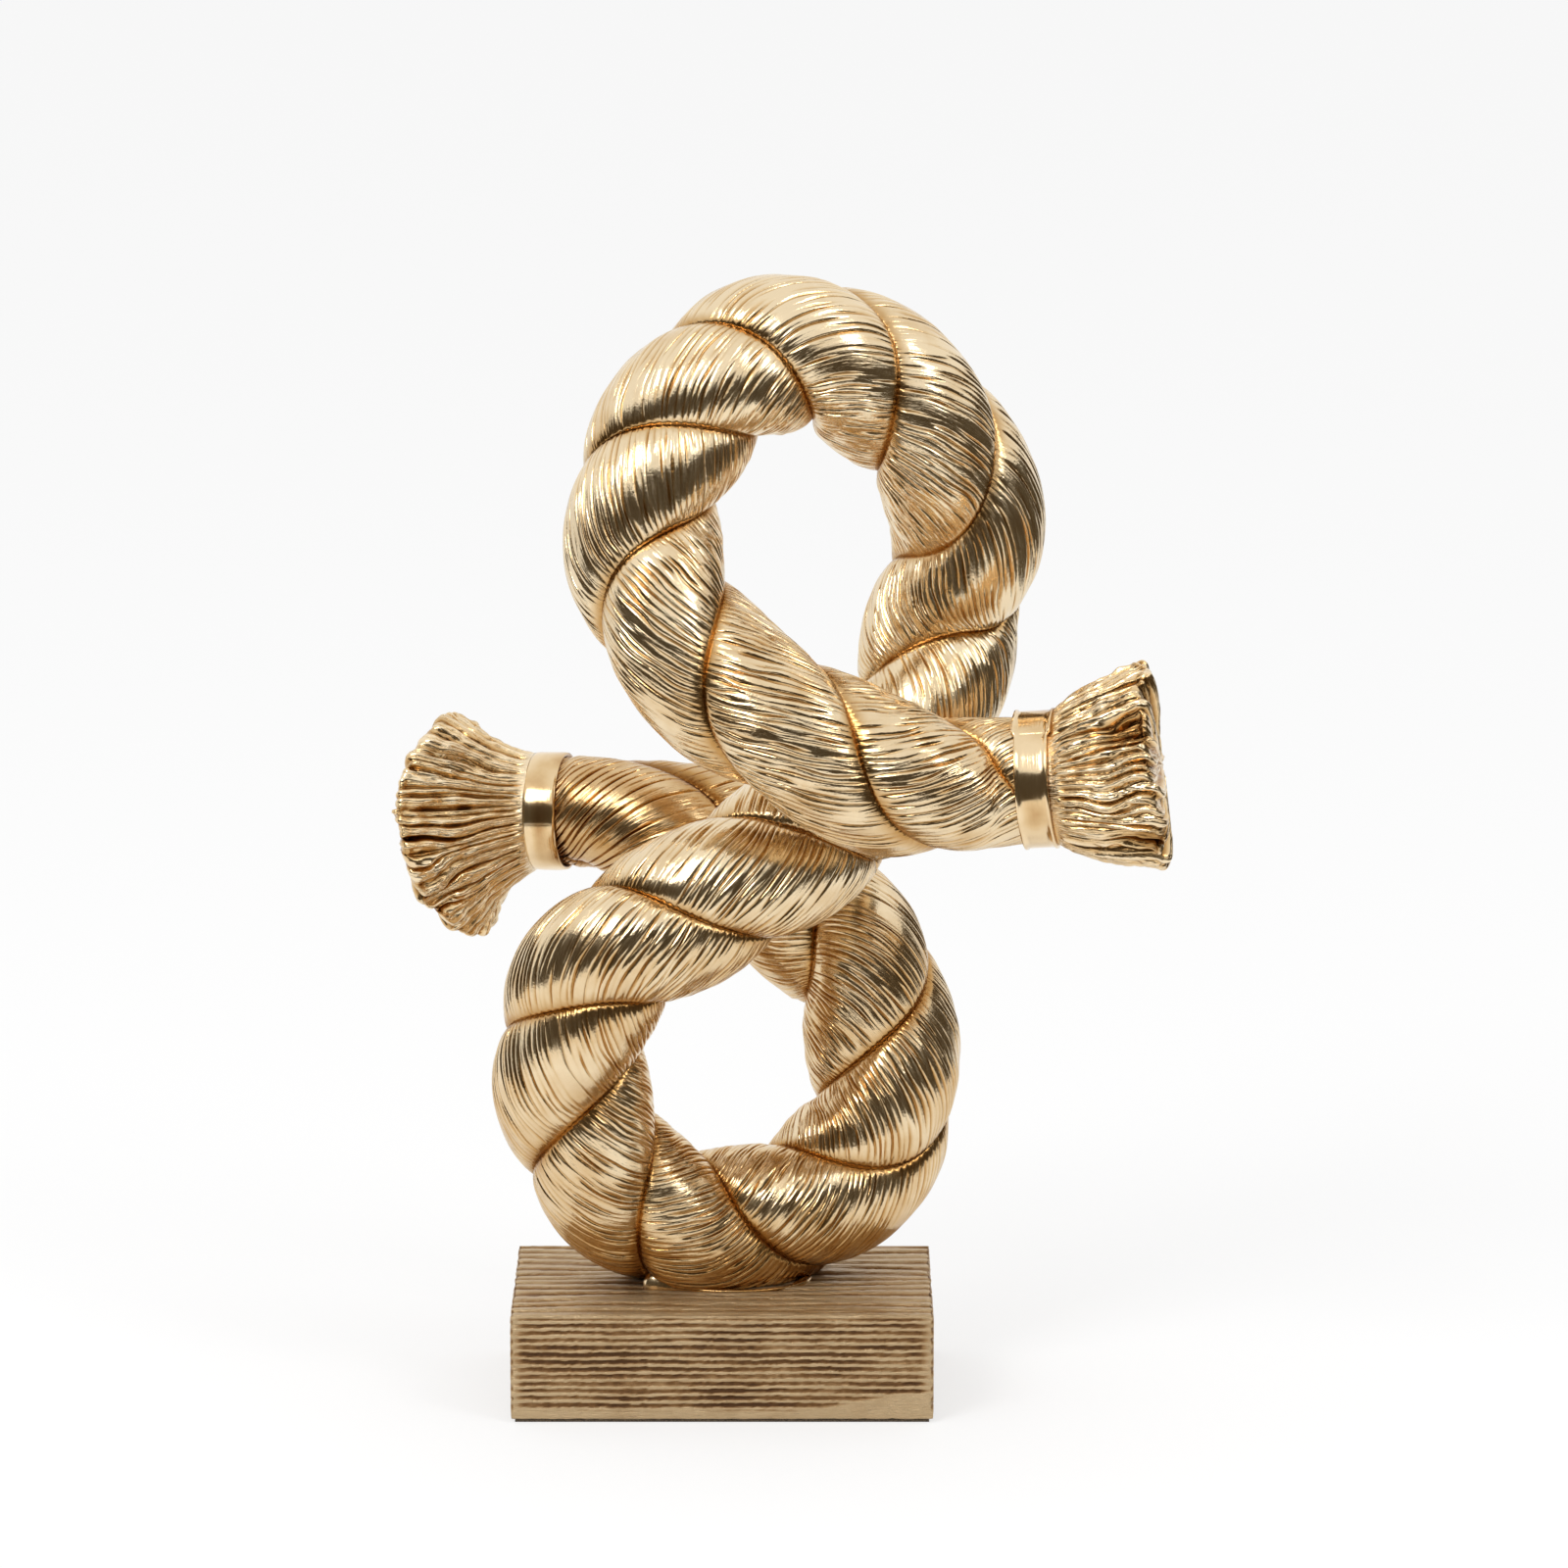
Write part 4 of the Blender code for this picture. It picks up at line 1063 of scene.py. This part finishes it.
def end_grain(random, y, z, span):
    """Depth of the growth rings on the ends, 0 to 1."""
    ring = np.hypot((y - END_HEART[0]) * span[1], (z - END_HEART[1]) * span[2])
    wander = layered_noise(random, END_WANDER_LAYERS, y, z)
    return ridges(ring, END_GRAIN_PITCH, wander, END_GRAIN_CURVE)


def make_plinth(name):
    """A block with raised grain along its length on the long faces and top, and rings on its ends."""
    random = np.random.default_rng(PLINTH_SEED)
    place, quads = box_lattice(GRAIN_CELLS)
    low = np.array(PLINTH_LOW)
    span = np.array(PLINTH_HIGH) - low
    points = low + place * span
    x, y, z = place.T
    outward = (place == 1.0) * 1.0 - (place == 0.0)
    on_end = np.abs(outward[:, 0])
    on_face = np.abs(outward[:, 1])
    on_top = outward[:, 2] > 0.0

    face = face_grain(random, x, z, span[2])
    top = top_grain(random, x, y, span[1])
    end = end_grain(random, y, z, span)
    points[:, 1] -= outward[:, 1] * FACE_GRAIN_DEPTH * face
    points[:, 2] -= on_top * TOP_GRAIN_DEPTH * top
    points[:, 0] -= outward[:, 0] * END_GRAIN_DEPTH * end

    from_edge = np.sort(np.minimum(place, 1.0 - place) * span, axis=1)[:, 1]
    chip = layered_noise(random, EDGE_CHIP_LAYERS, x, (y + z) / 2.0)
    worn = EDGE_ROUND * (1.0 + EDGE_UNEVENNESS * chip)
    worn = worn + 2.0 * EDGE_CHIP * np.clip(chip - EDGE_CHIP_START, 0.0, 1.0)
    near = np.clip(1.0 - from_edge / (EDGE_REACH * worn), 0.0, 1.0) ** 2
    points -= outward * (0.5 * worn * near)[:, None]

    # The top's grain patina and stains, made paler all over with painted light
    top_tone = TOP_GRAIN_PATINA * top + layered_noise(random, TOP_STAIN_LAYERS, y, x) - TOP_PAINTED_LIGHT
    tone = np.maximum(np.maximum(face * on_face, top_tone * on_top), END_GRAIN_PATINA * end * on_end)
    values = {
        "patina_and_painted_light": np.clip(tone, 0.0, 1.0),
        "across": (y * span[1] + z * span[2]) * PLINTH_LINES_PER_METRE,
        "along": x * span[0],
    }
    piece = make_piece(name, points, quads.tolist(), PLINTH_GOLD, values)
    dress(piece, "plinth_gold", "plinth")


def make_seat_bead(name):
    """An uneven bead of gilding where the rope meets the plinth, darkened with painted shade, its swells and
    blob paler with painted glints.
    """
    random = np.random.default_rng(BEAD_SEED)
    round_seat = turns(BEAD_RINGS)
    swell = smooth_noise(random, 2, BEAD_RINGS, *BEAD_SWELL_CELLS)[0]
    waver = smooth_noise(random, 2, BEAD_RINGS, *BEAD_WAVER_CELLS)[0]
    bump = np.exp(-(apart(round_seat, BLOB_TURN) / BLOB_SPREAD) ** 2)
    size = BEAD_SIZE + BEAD_SWELL * swell - BEAD_SLIMMER_RIGHT * np.cos(round_seat)
    size = BEAD_RADIUS * (size + BLOB_SWELL * bump)
    reach = 1.0 + BEAD_WAVER * waver + BLOB_FURTHER * bump
    middle = ROUTE[SEAT_INDEX] + np.array([BEAD_SHIFT, 0.0, 0.0])
    middle[2] = PLINTH_TOP
    centre = middle + np.column_stack([
        BEAD_ALONG * reach * np.cos(round_seat),
        BEAD_ACROSS * reach * np.sin(round_seat),
        np.zeros(BEAD_RINGS),
    ])
    outward = unit(centre - middle)
    turn = turns(BEAD_COLUMNS)[None, :, None]
    tall = BEAD_TALLNESS + BLOB_TALLER * bump
    lift = np.sin(turn) * tall[:, None, None] * UP
    points = centre[:, None] + size[:, None, None] * (np.cos(turn) * outward[:, None] + lift)
    index = np.arange(BEAD_RINGS * BEAD_COLUMNS).reshape(BEAD_RINGS, BEAD_COLUMNS)
    after = np.roll(index, -1, axis=1)
    corners = [index, np.roll(index, -1, axis=0), np.roll(after, -1, axis=0), after]
    quads = np.stack(corners, axis=-1).reshape(-1, 4)
    # Painted contact shade, lightened by painted glints where the bead swells
    tone = BEAD_PAINTED_SHADE - BEAD_PAINTED_GLINT * swell - BEAD_PAINTED_GLINT * BLOB_SWELL * bump
    values = {
        "patina_and_painted_light": np.repeat(tone, BEAD_COLUMNS),
        "across": np.repeat(round_seat * BEAD_LINES_PER_TURN, BEAD_COLUMNS),
        "along": np.tile(np.arange(BEAD_COLUMNS) * BEAD_COLUMN_STEP, BEAD_RINGS),
    }
    piece = make_piece(name, points.reshape(-1, 3), quads.tolist(), ROPE_GOLD, values)
    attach(piece, "root")


for strand_number in range(STRAND_COUNT):
    make_strand(strand_number)
make_band(
    "hoop_left", "band_left", ROUTE[0], LEFT_AXIS, LEFT_NECK_RADIUS, LEFT_HOOP_THICKNESS,
    crowned_outline(), 0.0, LEFT_BAND_SEED)
make_band(
    "hoop_right", "band_right", ROUTE[-1], RIGHT_AXIS, RIGHT_NECK_RADIUS, BAND_THICKNESS,
    rimmed_outline(), 1.0, RIGHT_BAND_SEED)
make_tassel(
    "yarns_left", "frayed_end_left", ROUTE[0], LEFT_AXIS,
    flare_outline(
        LEFT_NECK_RADIUS, LEFT_MOUTH_RADIUS, LEFT_TASSEL_LENGTH, LEFT_END_DOME, LEFT_FLARE_CURVE),
    LEFT_DROOP, LEFT_DROOP_CURVE, LEFT_END_SLANT, LEFT_SIDE_CUT, (), LEFT_TASSEL_SEED)
make_tassel(
    "yarns_right", "frayed_end_right", ROUTE[-1], RIGHT_BRUSH_AXIS,
    flare_outline(
        RIGHT_NECK_RADIUS, RIGHT_MOUTH_RADIUS, RIGHT_TASSEL_LENGTH, RIGHT_END_DOME, RIGHT_FLARE_CURVE),
    RIGHT_DROOP, RIGHT_DROOP_CURVE, RIGHT_END_SLANT, RIGHT_SIDE_CUT, RIGHT_HOLLOWS, RIGHT_TASSEL_SEED)
make_plinth("grained_plinth")
make_seat_bead("seat_bead")
for kept, finish in (
    ("core_rod", ZINC_STEEL),
    ("mounting_stud", ZINC_STEEL),
    ("stud_nut", ZINC_STEEL),
    ("stud_washer", ZINC_STEEL),
    ("felt_base", DARK_FELT),
):
    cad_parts[kept].data.materials.clear()
    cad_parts[kept].data.materials.append(finish)


# Stage, lights and camera

def dark_surround(name, radius, bottom, top, first, last, shade):
    """A dark upright screen bent round the object and open behind it, seen by reflections alone."""
    turn = np.radians(np.linspace(first, last, SCREEN_STEPS)) - math.pi / 2
    side = radius * np.column_stack([np.cos(turn), np.sin(turn), np.zeros(SCREEN_STEPS)])
    points = np.vstack([side + bottom * UP, side + top * UP])
    index = np.arange(SCREEN_STEPS - 1)
    corners = [index, index + 1, index + 1 + SCREEN_STEPS, index + SCREEN_STEPS]
    quads = np.stack(corners, axis=-1)
    made, _, shader = blank_material(name)
    shader.inputs["Base Color"].default_value = (*shade, 1.0)
    shader.inputs["Roughness"].default_value = 1.0
    card = make_piece(name, points, quads.tolist(), made)
    card.visible_camera = False
    card.visible_diffuse = False
    card.visible_shadow = False


def make_floor():
    """A white floor that keeps part of its shading where the camera sees it."""
    bpy.ops.mesh.primitive_circle_add(vertices=96, radius=FLOOR_RADIUS, fill_type="NGON")
    floor = bpy.context.object
    floor.name = "floor"
    made, tree, shader = blank_material("floor_white")
    shader.inputs["Base Color"].default_value = FLOOR_COLOUR
    shader.inputs["Roughness"].default_value = 0.9
    shader.inputs["Specular IOR Level"].default_value = 0.0
    white = node(tree, "ShaderNodeEmission", {"Color": WHITE, "Strength": 1.0}).outputs["Emission"]
    seen = node(tree, "ShaderNodeLightPath").outputs["Is Camera Ray"]
    share = maths(tree, "MULTIPLY", seen, FLOOR_WHITE)
    mixed = node(tree, "ShaderNodeMixShader", {0: share, 1: shader.outputs["BSDF"], 2: white})
    tree.links.new(mixed.outputs["Shader"], tree.nodes["Material Output"].inputs["Surface"])
    floor.data.materials.append(made)


def make_world():
    """A white world, a little dimmer as light than as background."""
    world = bpy.data.worlds.new("studio")
    world.use_nodes = True
    tree = world.node_tree
    ray = node(tree, "ShaderNodeLightPath")
    shown = maths(tree, "ADD", ray.outputs["Is Camera Ray"], ray.outputs["Is Glossy Ray"])
    shown = maths(tree, "ADD", shown, ray.outputs["Is Transmission Ray"], clamp=True)
    strength = spread(tree, shown, WORLD_LEVEL, 1.0, 0.0, 1.0)
    background = tree.nodes["Background"]
    background.inputs["Color"].default_value = WHITE
    tree.links.new(strength, background.inputs["Strength"])
    bpy.context.scene.world = world


def area_light(name, place, aim, size, power):
    data = bpy.data.lights.new(name, "AREA")
    data.shape = "RECTANGLE"
    data.size, data.size_y = size
    data.energy = power
    lamp = bpy.data.objects.new(name, data)
    lamp.location = place
    lamp.rotation_euler = (Vector(aim) - Vector(place)).to_track_quat("-Z", "Y").to_euler()
    bpy.context.scene.collection.objects.link(lamp)


def make_camera():
    data = bpy.data.cameras.new("camera")
    data.lens = CAMERA_LENS
    data.sensor_width = CAMERA_SENSOR
    eye = bpy.data.objects.new("camera", data)
    eye.location = CAMERA_PLACE
    eye.rotation_euler = (math.radians(90.0 - CAMERA_DIP_DEGREES), 0.0, 0.0)
    bpy.context.scene.collection.objects.link(eye)
    bpy.context.scene.camera = eye


make_floor()
make_world()
dark_surround(
    "surround_flag", radius=0.52, bottom=0.02, top=0.44, first=-88.0, last=122.0,
    shade=(0.072, 0.055, 0.033))
area_light("key", place=(-1.0, -1.3, 1.6), aim=LIGHT_AIM, size=(0.8, 0.8), power=14.0)
area_light("fill", place=(1.3, -1.1, 1.4), aim=LIGHT_AIM, size=(0.5, 0.9), power=6.0)
make_camera()
bpy.context.scene.view_settings.view_transform = "Standard"
